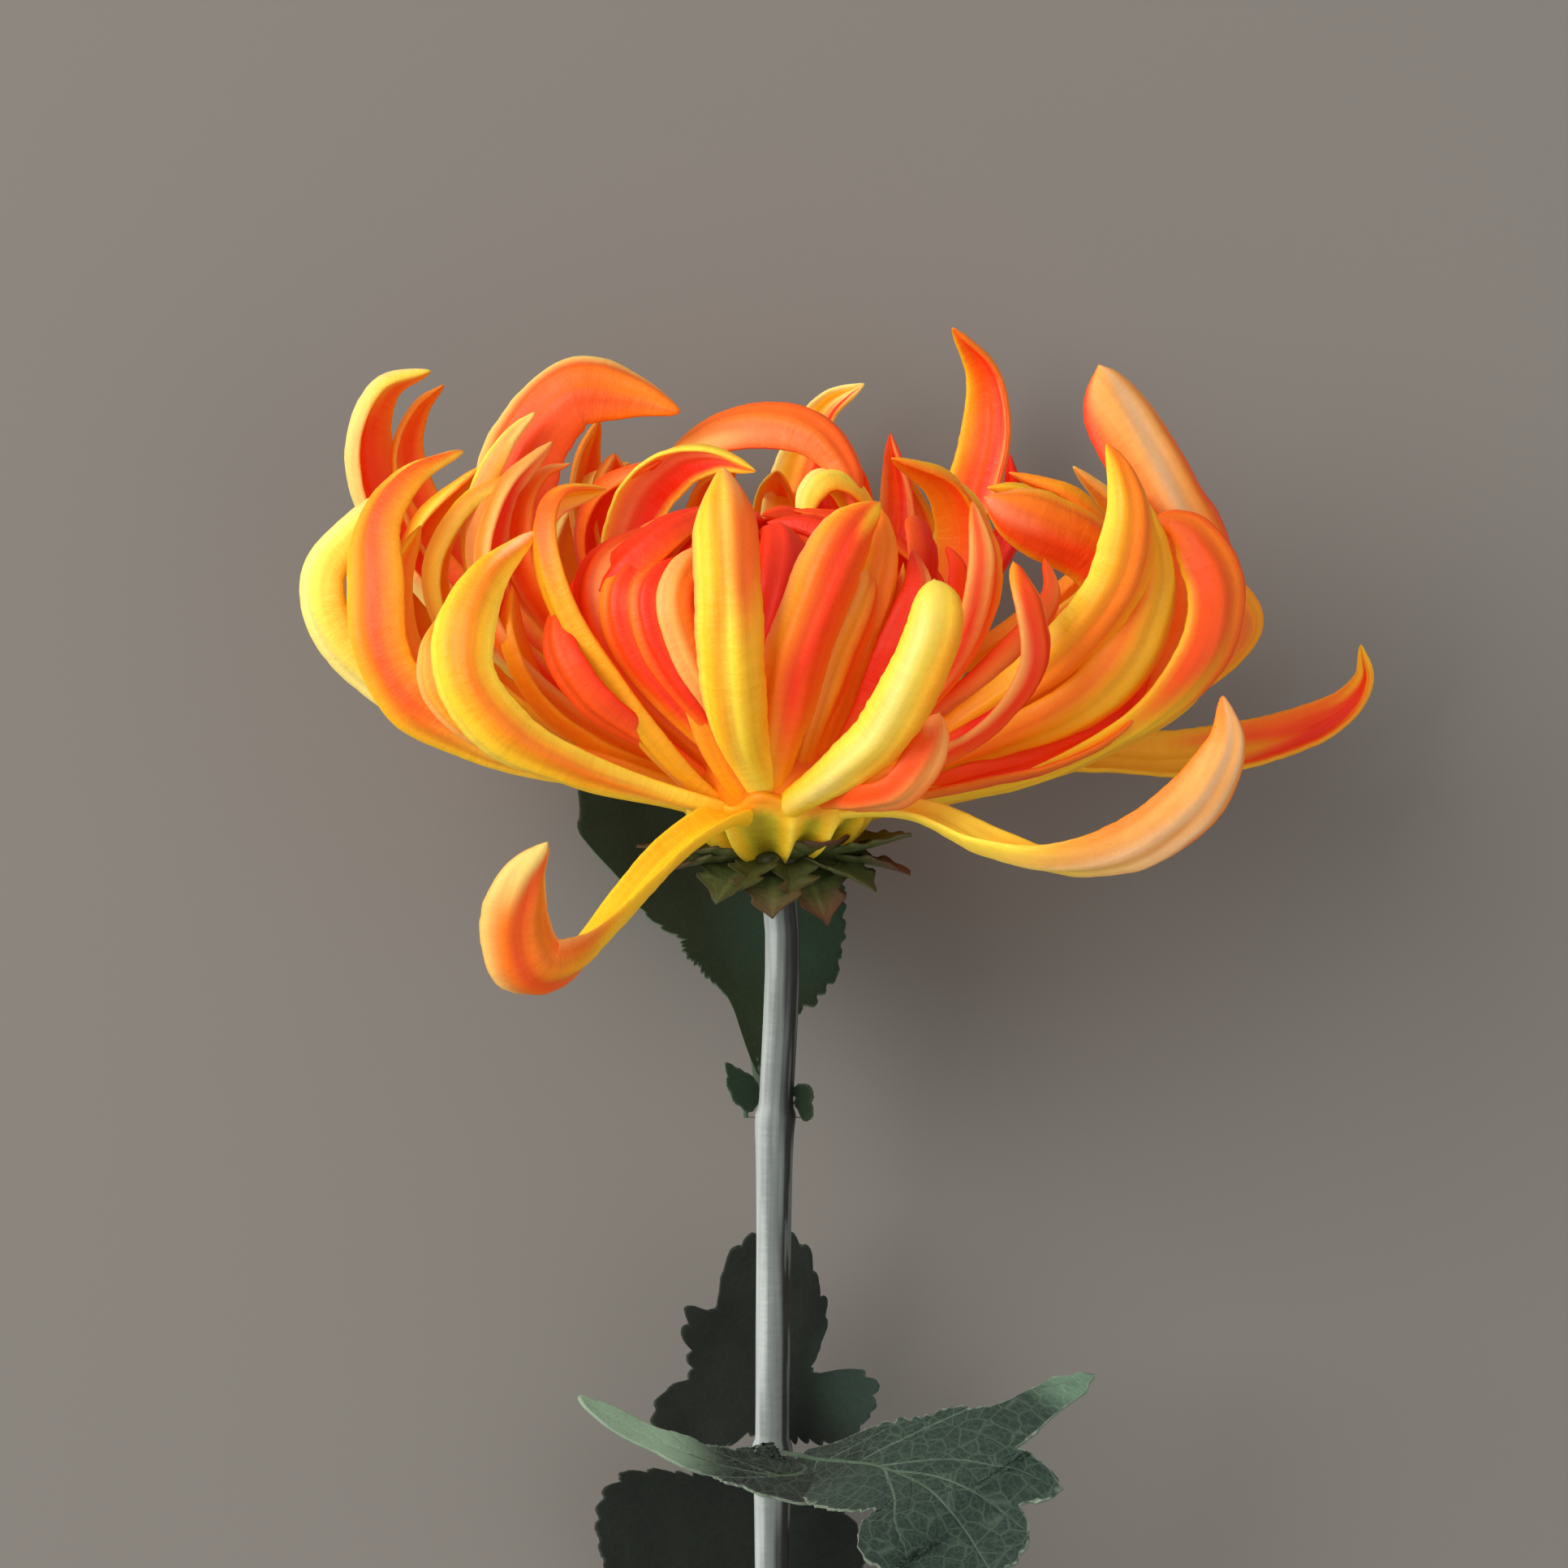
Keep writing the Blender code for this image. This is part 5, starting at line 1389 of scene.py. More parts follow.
@dataclass
class Calyx:
    """Green bracts spreading from a small cup under the bloom.

    Attributes:
        bracts: Azimuth in degrees, reach, height of the tip and width in mm of each.
        thickness: Of a bract, in mm.
        root: Radius and height at which the bracts start.
        cup: Radius and height of the cup, from the top down.
        ribs: Share of the cup's radius by which its ribs stand out.
        teeth: Share of a bract's width that its teeth take.
        columns: Points across a bract.
        rows: Points along it.
        green: Colour of the bracts and the cup, from 0 to 255.
        pale: Colour of their ribs and undersides.
        brown: Colour of their worn tips.
        finish: Their finish.
    """

    bracts: tuple[tuple[float, float, float, float], ...] = (
        (268, 11.0, -7.6, 10.0), (302, 10.5, -8.8, 9.6), (330, 13.0, -5.0, 8.6), (358, 15.5, -3.6, 7.6),
        (20, 15.0, 0.2, 7.2), (60, 13.0, -3.0, 7.0), (100, 13.5, -4.0, 7.0), (138, 13.0, -3.0, 7.0),
        (172, 16.5, -0.6, 6.0), (200, 14.5, -2.8, 7.6), (236, 12.0, -6.0, 10.0), (314, 10.0, 1.4, 8.6),
        (346, 16.0, 1.6, 7.4), (212, 14.0, 0.6, 6.4),
    )
    thickness: float = 0.45
    root: tuple[float, float] = (3.4, -1.9)
    cup: Profile = (
        (4.6, -0.4), (5.4, -0.9), (5.3, -2.4), (4.4, -4.2), (3.3, -6.0), (2.5, -6.3))
    ribs: float = 0.03
    teeth: float = 0.22
    columns: int = 13
    rows: int = 26
    green: Screen = (56, 66, 28)
    pale: Screen = (104, 116, 60)
    brown: Screen = (104, 62, 44)
    finish: SkinFinish = BRACT_FINISH

    def add_bract(self, draft: Draft, number: int, azimuth: float, reach: float, drop: float,
                  width: float) -> None:
        """Adds one bract.

        Args:
            draft: The piece that it goes into.
            number: Which one it is, for its small irregularities.
            azimuth: Its direction, in radians.
            reach: Radius of its tip.
            drop: Height of its tip.
            width: Its greatest width.
        """
        outward = np.array([math.cos(azimuth), math.sin(azimuth), 0])
        across = np.array([-math.sin(azimuth), math.cos(azimuth), 0])
        t = np.linspace(0, 1, self.rows)[:, None]
        s = np.linspace(-1, 1, self.columns)[None, :]
        radius, height = self.root
        spine_r = radius + (reach + 1.0 - radius) * t
        spine_z = height + (drop - height) * t ** 1.6 + t * (1 - t)
        fall = np.clip((t - 0.45) / 0.55, 0, 1)
        half = width / 2 * (0.5 + 0.5 * eased(t, 0, 0.4)) * np.maximum(0.04, 1 - fall ** 2.8)
        half = half * (1 + self.teeth * np.sin(t * 30 + number + 0.8 * s) * eased(t, 0.3, 0.6))
        cup = 0.30 * half * s ** 2 + 0.25 * np.cos(s * 5) * (1 - t) * 0.4
        ripple = 0.25 * np.sin(t * 9 + number * 1.7) * s
        lift = cup + ripple * eased(t, 0.2, 0.6)
        shift = np.full_like(lift, self.thickness / 2) * (1 - 0.5 * np.abs(s)) * (1 - 0.4 * t)
        rows = []
        for sign in (1, -1):
            z = spine_z + lift + sign * shift
            place = (outward * (spine_r + 0 * s)[..., None] + across * (half * s)[..., None]
                     + np.array([0, 0, 1]) * z[..., None])
            rows.append(place if sign == 1 else place[:, ::-1])
        ring = np.concatenate(rows, axis=1)
        ring_s = np.broadcast_to(np.concatenate([s, s[:, ::-1]], axis=1), ring.shape[:2])
        ring_t = np.broadcast_to(t, ring.shape[:2])
        under = np.broadcast_to(np.concatenate([0 * s, 0 * s + 1], axis=1), ring.shape[:2])
        light = np.clip(0.25 + under * 0.3 + bell(ring_s, 0, 0.12) * 0.5, 0, 1)
        tint = mixed(as_light(self.green), as_light(self.pale), light)
        worn = eased(ring_t + 0.15 * np.abs(ring_s), 0.62, 1.05) * (0.5 + 0.5 * math.sin(number * 2.4))
        tint = mixed(tint, as_light(self.brown), np.clip(worn + 0.15 * eased(np.abs(ring_s), 0.8, 1.0), 0, 1))
        flats = np.stack([ring_s * width / 2, ring_t * reach, under * 4 + number * 9.0], axis=-1)
        draft.tube(ring, tint, flats, ring[[0, -1]].mean(axis=1))

    def build(self) -> None:
        """Builds the calyx."""
        draft = Draft()
        for k, (azimuth, reach, drop, width) in enumerate(self.bracts):
            self.add_bract(draft, k, math.radians(azimuth), reach, drop, width)
        draft.turned(self.cup, np.stack([as_light(self.green)] * len(self.cup)), self.ribs)
        draft.piece("calyx_bracts", self.finish.material(), ("calyx",))


@dataclass
class Stem:
    """The cut stem, with a sleeve that starts below each joint.

    Attributes:
        radius: Of the plain stem, in mm.
        top: Height of its upper end, inside the calyx.
        line: Its sideways place at each height.
        joints: Heights of the leaf joints.
        lip: How far a sleeve's upper edge stands out.
        sides: Points round it.
        step: Distance between rings.
        silver: Colour of the lit left side, from 0 to 255.
        grey: Colour of the middle.
        dark: Colour of the shaded right side.
        cut: Colour of the cut end.
        finish: The skin's finish.
    """

    radius: float = 2.12
    top: float = -3.8
    line: Profile = (
        (0.3, -3.6), (0.35, -7.0), (0.7, -11.0), (0.7, -16.0), (0.45, -22.0), (0.1, -28.5), (-0.3, -36.0),
        (-0.5, -60.0), (-0.6, -90.0), (-0.3, -120.0), (0.4, -145.0), (1.0, -165.0))
    joints: tuple[float, ...] = (UPPER_JOINT, MIDDLE_JOINT, LOWER_JOINT)
    lip: float = 0.42
    sides: int = 48
    step: float = 0.9
    silver: Screen = (178, 186, 186)
    grey: Screen = (116, 124, 122)
    dark: Screen = (24, 26, 22)
    cut: Screen = (150, 156, 128)
    finish: SkinFinish = STEM_FINISH

    def swelling(self, z: np.ndarray) -> np.ndarray:
        """Widens the stem at its joints.

        Args:
            z: Heights.

        Returns:
            How much wider the stem is there than its plain radius.
        """
        grown = np.zeros_like(z)
        for joint in self.joints:
            below = joint - z
            lip = eased(below, -1.6, -0.2) * np.exp(-np.maximum(0, below) / 5.0)
            grown = grown + self.lip * lip
        return grown

    def build(self) -> None:
        """Builds the stem."""
        draft = Draft()
        count = int((RESTING.stem_length + self.top) / self.step)
        z = np.linspace(self.top, -RESTING.stem_length, count)
        centre = np.interp(-z, [-h for _, h in self.line], [x for x, _ in self.line])
        turn = np.linspace(0, math.tau, self.sides, endpoint=False)
        grown = self.radius + self.swelling(z)
        ribs = 1 + 0.012 * np.cos(turn * 6 + 0.6)[None, :] + 0.008 * np.cos(turn * 11)[None, :]
        sway = np.array([[noise.noise(Vector((math.cos(a) * 1.3, math.sin(a) * 1.3, h * 0.09))) for a in turn]
                         for h in z])
        radius = grown[:, None] * ribs + 0.05 * sway
        places = np.stack([centre[:, None] + radius * np.cos(turn), radius * np.sin(turn),
                           np.broadcast_to(z[:, None], radius.shape)], axis=-1)
        across = np.cos(turn)[None, :] + 0.5 * sway + 0.12 * np.sin(turn * 13)[None, :]
        tint = mixed(as_light(self.silver), as_light(self.grey), eased(across, -0.75, -0.15))
        shaded = eased(across, 0.05, 0.6) * (1 - 0.8 * eased(across, 0.86, 1.0))
        tint = mixed(tint, as_light(self.dark), shaded)
        flats = np.stack([np.broadcast_to(turn * self.radius, radius.shape),
                          np.broadcast_to(z[:, None], radius.shape), np.zeros_like(radius)], axis=-1)
        draft.tube(places, tint, flats, places[[0, -1]].mean(axis=1), np.stack([as_light(self.cut)] * 2))
        draft.piece("stem_skin", self.finish.material(), ("stem",))


@dataclass(frozen=True)
class Patch:
    """A soft area of another colour on a leaf's upper side.

    Attributes:
        across: Its middle across the leaf, in mm, from the midrib.
        along: Its middle along the midrib, in mm, from the foot.
        size: Its radius.
        colour: Its colour, from 0 to 255.
    """

    across: float
    along: float
    size: float
    colour: Screen


@dataclass(frozen=True)
class Edge:
    """Outline of a leaf round its centre.

    Attributes:
        knots: Direction from the midrib in degrees, and distance to the edge in mm, all the way round.
        ragged: How far the edge is frayed, in mm.
        teeth: Height of its teeth, in mm.
        count: Half the number of teeth round it.
    """

    knots: Profile
    ragged: float = 0.3
    teeth: float = 0.0
    count: float = 22.0

    def tooth(self, angle: float) -> float:
        """Draws a row of small rounded teeth.

        Args:
            angle: Direction from the midrib, in radians.

        Returns:
            Height of the toothed edge there, in mm.
        """
        if not self.teeth:
            return 0.0
        height = self.teeth * (0.6 + 0.4 * math.sin(angle * 5 + 1))
        return height * (abs(math.sin(angle * self.count + 1.6 * math.sin(angle * 3))) ** 0.7 - 0.7)

    def reach(self, angle: float, seed: float = 0.0) -> float:
        """Distance from the centre to the edge, in mm.

        Args:
            angle: Direction from the midrib, in radians.
            seed: Number that the fraying comes from.

        Returns:
            The distance, rounded over the knots and frayed.
        """
        places = [a for a, _ in self.knots] + [360]
        sizes = [r for _, r in self.knots] + [self.knots[0][1]]
        near = [np.interp((math.degrees(angle) + d) % 360, places, sizes) for d in (-2.4, -1.2, 0, 1.2, 2.4)]
        worn = noise.noise(Vector((math.cos(angle) * 9, math.sin(angle) * 9, seed)))
        fine = noise.noise(Vector((math.cos(angle) * 26, math.sin(angle) * 26, seed + 2)))
        return float(np.mean(near)) + self.ragged * (worn + 0.6 * fine) + self.tooth(angle)


HIGH_EDGE = Edge((
    (0, 31.7), (5.6, 31.1), (19.2, 28.1), (33.8, 24.6), (50.5, 21.5), (69.8, 18.8), (88.2, 16.6),
    (105.4, 15.8), (121.5, 15.4), (132.4, 16.2), (141.8, 15.4), (148.6, 15.6), (155.8, 15),
    (169.7, 17.3), (178.6, 22.1), (182, 21.9), (184.6, 13.5), (188.4, 9.7), (198.2, 7.6), (226.6, 5.3),
    (288.4, 4.8), (309.9, 9.6), (322.3, 14.1), (328.2, 16.1), (330.1, 21.3), (332.3, 25.5),
    (336.4, 25.6), (343.1, 30.1), (354.1, 32.2)), 0.5, 1.1)
BACK_EDGE = Edge((
    (0, 19.6), (7.7, 19.2), (13.2, 17.4), (19.7, 14.4), (30.9, 12), (41.8, 9), (50.4, 6.7), (60, 5.2),
    (64.8, 5), (69.1, 7), (73, 10), (78.8, 12.1), (85.4, 13.1), (93.3, 13.1), (104.3, 12.5),
    (117.4, 11.6), (137.8, 8.5), (168, 5.5), (204.1, 6.5), (223.3, 13.5), (233.8, 15.7), (246.2, 16),
    (256.7, 14.9), (266.8, 12.5), (273, 10.6), (291, 11.9), (300.6, 13.6), (310.6, 15), (316, 13),
    (322.4, 12.2), (330, 15), (337.8, 17.6), (345.2, 19.2), (351, 19.6)), 0.4, 1.3, 19)
FRONT_EDGE = Edge((
    (0, 18.1), (9.5, 18.2), (26.6, 17.9), (42.5, 16.3), (61.7, 14.8), (66.5, 12.1), (80.5, 6.1),
    (90, 8), (121, 11.7), (158.2, 16.2), (182.5, 23), (193.2, 17.5), (210.3, 13.9), (228.4, 12),
    (262, 13.5), (270, 15.5), (274, 18.6), (276, 28), (277.4, 28.6), (280, 21.6), (287, 16),
    (294.4, 12.1), (304.7, 15.8), (310.2, 17), (315, 17), (327.5, 13), (331.7, 14.8), (338.2, 16.2),
    (346.8, 17.5), (356.8, 18)), 0.5, 0.7)
WING_EDGE = Edge((
    (0, 22.5), (7, 18.8), (16, 11), (45, 5), (90, 4.2), (120, 6.5), (140, 10.5), (160, 15.5), (180, 17.5),
    (200, 15.5), (220, 10.5), (240, 6.5), (270, 4.2), (315, 5), (344, 11), (353, 18.8)), 0.3)
LOW_EDGE = Edge((
    (0, 5.1), (15.7, 4.9), (57.3, 7.6), (79.3, 11.6), (97.3, 16), (112.3, 18.6), (125.1, 19.8),
    (140.4, 19.9), (154.9, 18.9), (169.9, 19.7), (183.5, 19.1), (198.4, 16.6), (222, 16.2),
    (240.3, 16.8), (253.3, 16.5), (267.9, 16.1), (283.3, 15.2), (298.3, 12.4), (306.3, 9.1),
    (317, 6.2), (343.9, 5.5)), 0.5, 1.4, 21)
LEFT_SCALE_EDGE = Edge((
    (0, 3.6), (8, 3.0), (33, 2.3), (74, 2.2), (143, 2.6), (175, 3), (199, 2.2), (275, 1.6), (338, 2.6),
    (353, 4.1)), 0.12)
RIGHT_SCALE_EDGE = Edge((
    (0, 1.6), (23, 1.8), (118, 1.5), (160, 3.2), (180, 3.1), (192, 1.7), (256, 0.7), (338, 1.6)), 0.12)


@dataclass
class Leaf:
    """One lobed leaf that follows its midrib from a joint of the stem.

    Attributes:
        name: Name of the solid that it replaces.
        joint: Height of its joint.
        foot_way: Direction of its foot about the stem.
        midrib: Line of the midrib as (across, up, near).
        face: The way that its upper side faces.
        centre: How far the blade's centre is from the foot, along the midrib.
        sides: How far its two sides rise.
        edge: Its outline.
        upper: Colour of the upper side, from 0 to 255.
        branches: Directions of the veins that leave the midrib, in degrees. A plain leaf has none.
        patches: Areas of other colours on it.
        points: Points round its edge.
        rings: Rings from its middle to its edge.
        waves: Height of the waves of the blade, in mm.
        under: Colour of the underside.
        thickness: Of the blade.
        clearance: From the stem's axis to the foot.
        sunk: From the stem's axis to where the stalk ends inside the stem.
        groove: How near a vein the blade is sunk, and how deep, in mm.
        part: Name of the piece, where the solid's own isn't used.
    """

    name: str
    joint: float
    foot_way: tuple[float, float]
    midrib: tuple[Point, ...]
    face: Point
    centre: float
    sides: tuple[float, float]
    edge: Edge
    upper: Screen
    branches: tuple[float, ...] = ()
    patches: tuple[Patch, ...] = ()
    points: int = 300
    rings: int = 26
    waves: float = 1.0
    under: Screen = (120, 150, 120)
    thickness: float = 0.34
    clearance: float = 3.45
    sunk: float = 1.5
    groove: tuple[float, float] = (0.3, 0.10)
    part: str = ""

    def __post_init__(self) -> None:
        """Works out the midrib's curve."""
        way = Vector((*self.foot_way, 0)).normalized()
        stem = Stem()
        x = float(np.interp(-self.joint, [-h for _, h in stem.line], [a for a, _ in stem.line]))
        foot = Vector((x, 0, self.joint)) + way * self.clearance
        self.to_stem = way * (self.sunk - self.clearance)
        self.curve = smooth_line([foot] + [EYE.place(p) for p in self.midrib], 48)
        self.facing = Vector(self.face).normalized()
        self.reach = sum((q - p).length for p, q in zip(self.curve, self.curve[1:]))
        self.length = self.centre + self.edge.knots[0][1]
        self.seed = sum(ord(letter) for letter in self.name) * 0.37

    def bent(self, u: float, v: float, lift: float = 0.0) -> Vector:
        """Bends a point of the flat leaf to the midrib.

        Args:
            u: Its place across, in mm.
            v: Its place along, in mm.
            lift: How far it is raised above the blade.

        Returns:
            The point in the flower's own frame.
        """
        place = max(0.0, min(0.9999, v / self.reach)) * (len(self.curve) - 1)
        k = int(place)
        along = (self.curve[k + 1] - self.curve[k]).normalized()
        upper = (self.facing - along * self.facing.dot(along)).normalized()
        across = along.cross(upper)
        rise = self.sides[0 if u < 0 else 1] * self.length * abs(u / self.length) ** 1.4
        far = math.hypot(u, v - self.centre) / self.length
        wave = self.waves * far * (noise.noise(Vector((u * 0.07, v * 0.07, self.seed)))
                                   + 0.35 * noise.noise(Vector((u * 0.22, v * 0.22, self.seed + 4)))) * 2.2
        outside = min(0.0, v) + max(0.0, v - self.reach)
        return (self.curve[k].lerp(self.curve[k + 1], place - k) + along * outside + across * u
                + upper * (rise + wave + lift))

    def veins(self) -> list[tuple[np.ndarray, np.ndarray, float]]:
        """Lays out the printed veins.

        Returns:
            Start, end and half width of each, on the flat leaf.
        """
        middle = np.array([0.0, self.centre])
        made = [(np.array([0.0, 0.0]), middle + (0.0, self.edge.knots[0][1] * 0.95), 0.18)]
        for direction in self.branches:
            turn = math.radians(direction)
            bend = min(direction, 360 - direction)
            way = np.array([math.sin(turn), math.cos(turn)])
            end = middle + way * self.edge.reach(turn) * 0.96
            made.append((middle - (0.0, 1.0 + 0.11 * bend), end, 0.12))
        for start, end, _ in list(made):
            along = end - start
            size = np.linalg.norm(along)
            for k in range(2, 7):
                for side in (-1, 1):
                    at = start + along * (0.12 * k + 0.03 + 0.03 * side)
                    turn = math.radians(38) * side
                    way = np.array([along[0] * math.cos(turn) - along[1] * math.sin(turn),
                                    along[0] * math.sin(turn) + along[1] * math.cos(turn)]) / size
                    made.append((at, at + way * size * 0.26 * (1.1 - 0.1 * k), -0.07))
        return made

    def vein_distance(self, flat: np.ndarray) -> np.ndarray:
        """Measures how far the veins are.

        Args:
            flat: Points of the flat leaf.

        Returns:
            Distance from each to the nearest vein's side, in mm.
        """
        best = np.full(len(flat), FAR)
        if not self.branches:
            return best
        for start, end, half in self.veins():
            along = end - start
            share = np.clip(((flat - start) @ along) / (along @ along), 0, 1)
            gap = np.linalg.norm(flat - (start + share[:, None] * along), axis=1)
            best = np.minimum(best, gap - half * (1 - 0.6 * share) + 0.08 * share)
        return best + 0.06

    def painted(self, flat: np.ndarray, upper: bool) -> np.ndarray:
        """Paints one side.

        Args:
            flat: Points of the flat leaf.
            upper: Whether it is the upper side.

        Returns:
            Their linear colours.
        """
        tint = np.broadcast_to(as_light(self.upper if upper else self.under), (len(flat), 4))
        for patch in self.patches if upper else ():
            gap = np.linalg.norm(flat - (patch.across, patch.along), axis=1)
            tint = mixed(tint, as_light(patch.colour), 1 - eased(gap, patch.size * 0.4, patch.size))
        return tint

    def build(self, material: bpy.types.Material) -> None:
        """Builds the leaf with both its sides, its edge and its stalk.

        Args:
            material: The leaf's finish.
        """
        draft = Draft()
        shares = np.linspace(0, 1, self.rings + 1)[1:] ** 0.9
        angles = np.linspace(0, math.tau, self.points, endpoint=False)
        reach = np.array([self.edge.reach(a, self.seed) for a in angles])
        u = (reach[None, :] * shares[:, None]) * np.sin(angles)
        v = self.centre + (reach[None, :] * shares[:, None]) * np.cos(angles)
        flat = np.stack([u, v], axis=-1).reshape(-1, 2)
        flat = np.concatenate([[[0.0, self.centre]], flat])
        gap = self.vein_distance(flat)
        from_edge = np.concatenate([[FAR], ((1 - shares[:, None]) * reach[None, :]).ravel()])
        near, depth = self.groove
        sides = []
        for sign in (1, -1):
            lift = sign * self.thickness / 2 + np.where(gap < near, depth, 0.0) * -sign
            points = np.array([self.bent(a, b, c) for (a, b), c in zip(flat, lift)])
            flats = np.column_stack([flat, np.full(len(flat), self.seed + (1 - sign) * 3)])
            sides.append(draft.add(points, self.painted(flat, sign > 0), flats))
        for first in sides:
            draft.faces += [(first, first + 1 + (k + 1) % self.points, first + 1 + k)
                            for k in range(self.points)]
            draft.ring_faces(first + 1, self.rings, self.points)
        top, bottom = (first + 1 + (self.rings - 1) * self.points for first in sides)
        for k in range(self.points):
            n = (k + 1) % self.points
            draft.faces.append((top + k, top + n, bottom + n, bottom + k))
        marks = [np.concatenate([gap, gap]), np.concatenate([from_edge, from_edge])]
        self.add_stalk(draft, marks)
        made = draft.piece((self.part or self.name) + "_blade", material, (self.name,))
        for name, values in zip(("vein", "edge"), marks):
            layer = made.data.attributes.new(name, "FLOAT", "POINT")
            layer.data.foreach_set("value", values.astype(np.float32))

    def add_stalk(self, draft: Draft, marks: list[np.ndarray]) -> None:
        """Adds the stalk and the rib that it becomes under the blade.

        Args:
            draft: The leaf in the making.
            marks: Distances to veins and to the edge, which grow by the stalk's points.
        """
        rows, sides = 36, 10
        last = self.centre + 0.5 * self.edge.knots[0][1]
        thick = min(1.0, 0.2 + self.length / 50)
        first = draft.count
        for i in range(-1, rows):
            share = max(0, i) / (rows - 1)
            v = share * last
            radius = (0.95 - 0.72 * share) * thick * (1.25 if i < 0 else 1)
            inward = self.to_stem if i < 0 else Vector()
            points = [self.bent(radius * math.cos(a), v, radius * math.sin(a) - radius * 0.75) + inward
                      for a in (math.tau * k / sides for k in range(sides))]
            tint = mixed(as_light(self.upper), as_light(self.under), np.full(sides, 0.25))
            draft.add(np.array(points), tint, np.array([[radius * k, v, self.seed] for k in range(sides)]))
        draft.ring_faces(first, rows + 1, sides)
        for at in (first, first + rows * sides):
            draft.faces.append(tuple(range(at, at + sides)))
        for i in range(2):
            marks[i] = np.concatenate([marks[i], np.full((rows + 1) * sides, FAR)])


PLAIN_FINISH = LeafFinish("leaf_plain", print_share=0.035, net_share=0.01, fray_share=0.10)
PRINTED_FINISH = LeafFinish("leaf_printed", print_share=0.36, net_share=0.13, fray_share=0.7)
# Their dark upper colours are partly painted shade: these leaves lie behind the stem and the bloom.
PLAIN_LEAVES = (
    Leaf("leaf_high", UPPER_JOINT, foot_way=(-0.3, 1), face=(0, -1, 0.85), centre=26, sides=(0.22, 0.20),
         midrib=((-3.2, -23, -12), (-6.4, -13, -19), (-10.6, -4, -27), (-15, 5.4, -34)),
         edge=HIGH_EDGE, upper=(25, 40, 20), patches=(Patch(12, 26, 15, (32, 56, 42)),)),
    Leaf("leaf_scale_left", UPPER_JOINT, foot_way=(-1, -0.15), face=(0.5, -1, 0.2), centre=3.5,
         sides=(0, 0), midrib=((-4.0, -31, -3), (-5.6, -27.4, -3)),
         edge=LEFT_SCALE_EDGE, upper=(28, 46, 28), points=90, rings=8, waves=0.3),
    Leaf("leaf_scale_right", UPPER_JOINT, foot_way=(1, -0.15), face=(-0.3, -1, 0.2), centre=2.6,
         sides=(0, 0), midrib=((3.0, -32.4, -3.2), (3.1, -29.6, -3)),
         edge=RIGHT_SCALE_EDGE, upper=(28, 46, 28), points=90, rings=8, waves=0.3),
    Leaf("leaf_back", MIDDLE_JOINT, foot_way=(-0.2, 1), face=(0, -1, 0.3), centre=7, sides=(0.10, 0.14),
         midrib=((-0.4, -67, -13), (0.0, -60, -14.6), (0.4, -52, -16)),
         edge=BACK_EDGE, upper=(22, 28, 22), patches=(Patch(13, 10, 11, (40, 58, 50)),)),
    Leaf("leaf_low", LOWER_JOINT, foot_way=(-0.4, 1), face=(0, -1, 0.3), centre=33, sides=(0.10, 0.10),
         midrib=((-3, -106, -14), (-5, -95, -17), (-6.5, -84, -18), (-7, -77, -18)),
         edge=LOW_EDGE, upper=(20, 26, 20)),
)
PRINTED_LEAVES = (
    Leaf("leaf_front", MIDDLE_JOINT, foot_way=(0.5, -0.85), face=(-0.151, -0.573, 1), centre=26,
         sides=(0.138, 0.149),
         midrib=((5.6, -76, 3), (11.6, -76.4, 10), (17.6, -78.8, 16.8), (20.8, -81.5, 20.8),
                 (23.4, -84.8, 22.2), (25.6, -88.4, 25.2), (27, -91, 27.7)),
         edge=FRONT_EDGE, upper=(36, 54, 46), branches=(278, 313, 336, 40, 150, 225),
         patches=(Patch(0, 8, 13, (28, 40, 34)), Patch(-25, 29, 8, (92, 122, 102))),
         points=400, rings=44, waves=0.5),
    Leaf("leaf_front", MIDDLE_JOINT, foot_way=(0.5, -0.85), face=(0.25, -0.28, 0.93), centre=20.5,
         sides=(0.1, 0.1),
         midrib=((3.6, -77.2, 5), (0, -77.8, 8), (-8, -76.2, 10.5), (-16.6, -72.6, 12.5),
                 (-26.6, -66.8, 14)),
         edge=WING_EDGE, upper=(28, 38, 32), branches=(40, 320),
         patches=(Patch(0, 38, 17, (150, 182, 154)),), points=220, rings=24, waves=0.6,
         part="leaf_wing"),
)


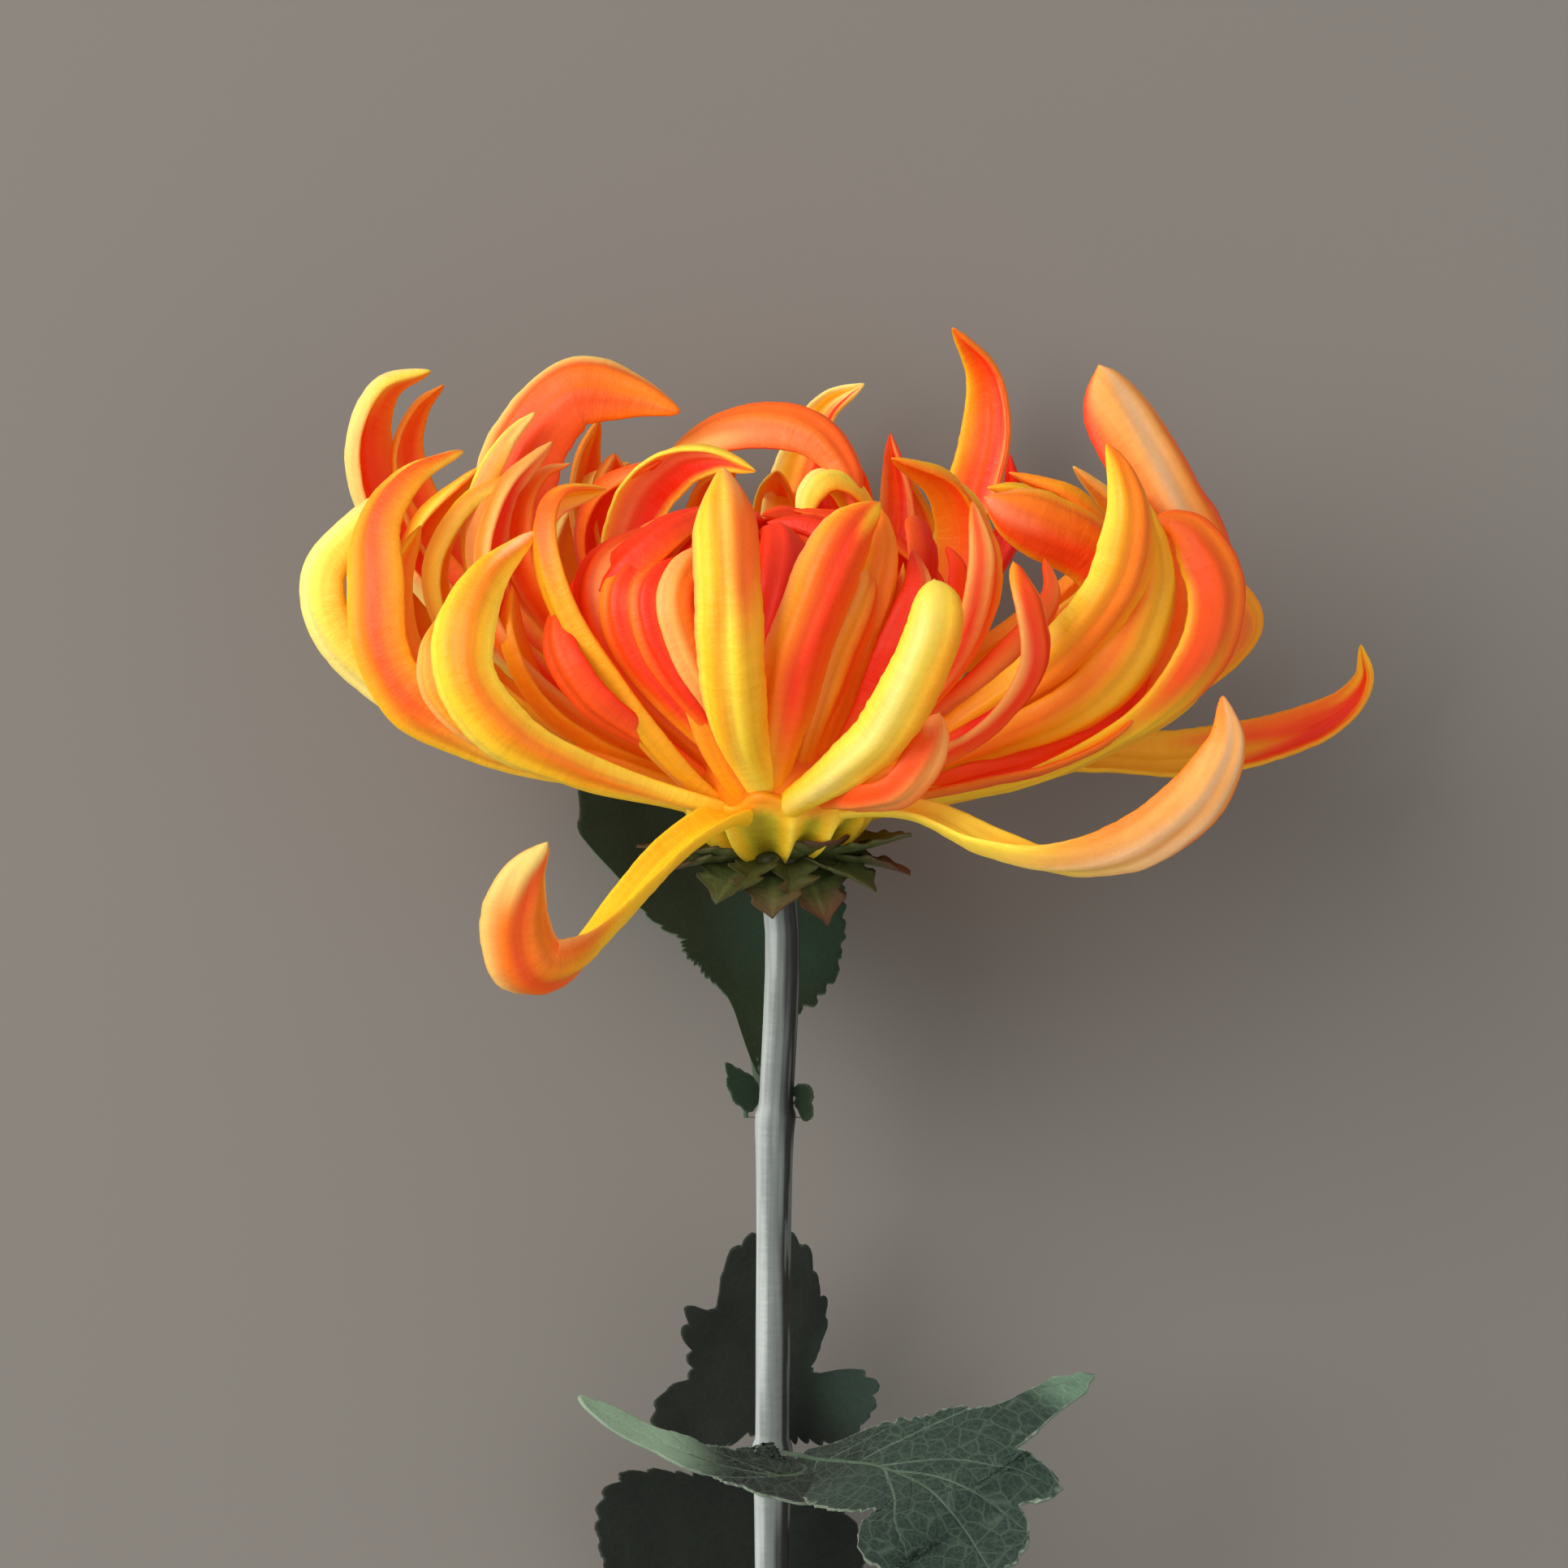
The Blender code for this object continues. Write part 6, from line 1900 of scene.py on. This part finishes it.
@dataclass
class Studio:
    """Plain pale floor and soft light, with the window light from the viewer's left.

    Attributes:
        floor_size: Side of the floor, in metres.
        window: Place of the large light, its size, its power and its colour.
        fill: Place of the weaker light, its size, its power and its colour.
        aim: What both point at, in the flower's own frame, in mm.
        ambient: Colour and strength of the light from all round.
        finish: The floor's finish.
    """

    floor_size: float = 6.0
    window: tuple[Point, float, float, Point] = ((-1.3, 0.5, 1.05), 1.7, 37.0, (1.0, 0.97, 0.92))
    fill: tuple[Point, float, float, Point] = ((0.7, -0.3, 0.8), 0.9, 1.5, (0.95, 0.97, 1.0))
    aim: Point = (0, 0, 10)
    ambient: tuple[Light, float] = ((1.0, 0.98, 0.95, 1.0), 0.50)
    finish: FloorFinish = field(default_factory=FloorFinish)

    def area(self, name: str, place: Point, size: float, power: float, colour: Point) -> None:
        """Adds a soft light that points at the bloom.

        Args:
            name: Its name.
            place: Where it stands, in metres.
            size: Its side, in metres.
            power: Its power, in watts.
            colour: Its colour, as linear light.
        """
        data = bpy.data.lights.new(name, "AREA")
        data.size = size
        data.energy = power
        data.color = colour
        light = bpy.data.objects.new(name, data)
        light.location = place
        way = LIE @ Vector(self.aim) - Vector(place)
        light.rotation_euler = way.to_track_quat("-Z", "Y").to_euler()
        bpy.context.scene.collection.objects.link(light)

    def build(self) -> None:
        """Sets up the floor, the lights and the camera."""
        bpy.ops.mesh.primitive_plane_add(size=self.floor_size)
        floor = bpy.context.object
        floor.name = "floor"
        floor.data.materials.append(self.finish.material())
        self.area("window", *self.window)
        self.area("fill", *self.fill)
        world = bpy.data.worlds.new("surroundings")
        world.use_nodes = True
        back = world.node_tree.nodes["Background"]
        back.inputs[0].default_value, back.inputs[1].default_value = self.ambient
        bpy.context.scene.world = world
        bpy.context.scene.view_settings.view_transform = "Standard"
        EYE.camera()


def main() -> None:
    """Builds every sub-assembly in order."""
    logging.basicConfig(level=logging.INFO, format="%(name)s: %(message)s")
    Bloom().build()
    Calyx().build()
    Stem().build()
    for finish, leaves in ((PLAIN_FINISH, PLAIN_LEAVES), (PRINTED_FINISH, PRINTED_LEAVES)):
        material = finish.material()
        for leaf in leaves:
            leaf.build(material)
    Studio().build()


if __name__ == "__main__":
    main()
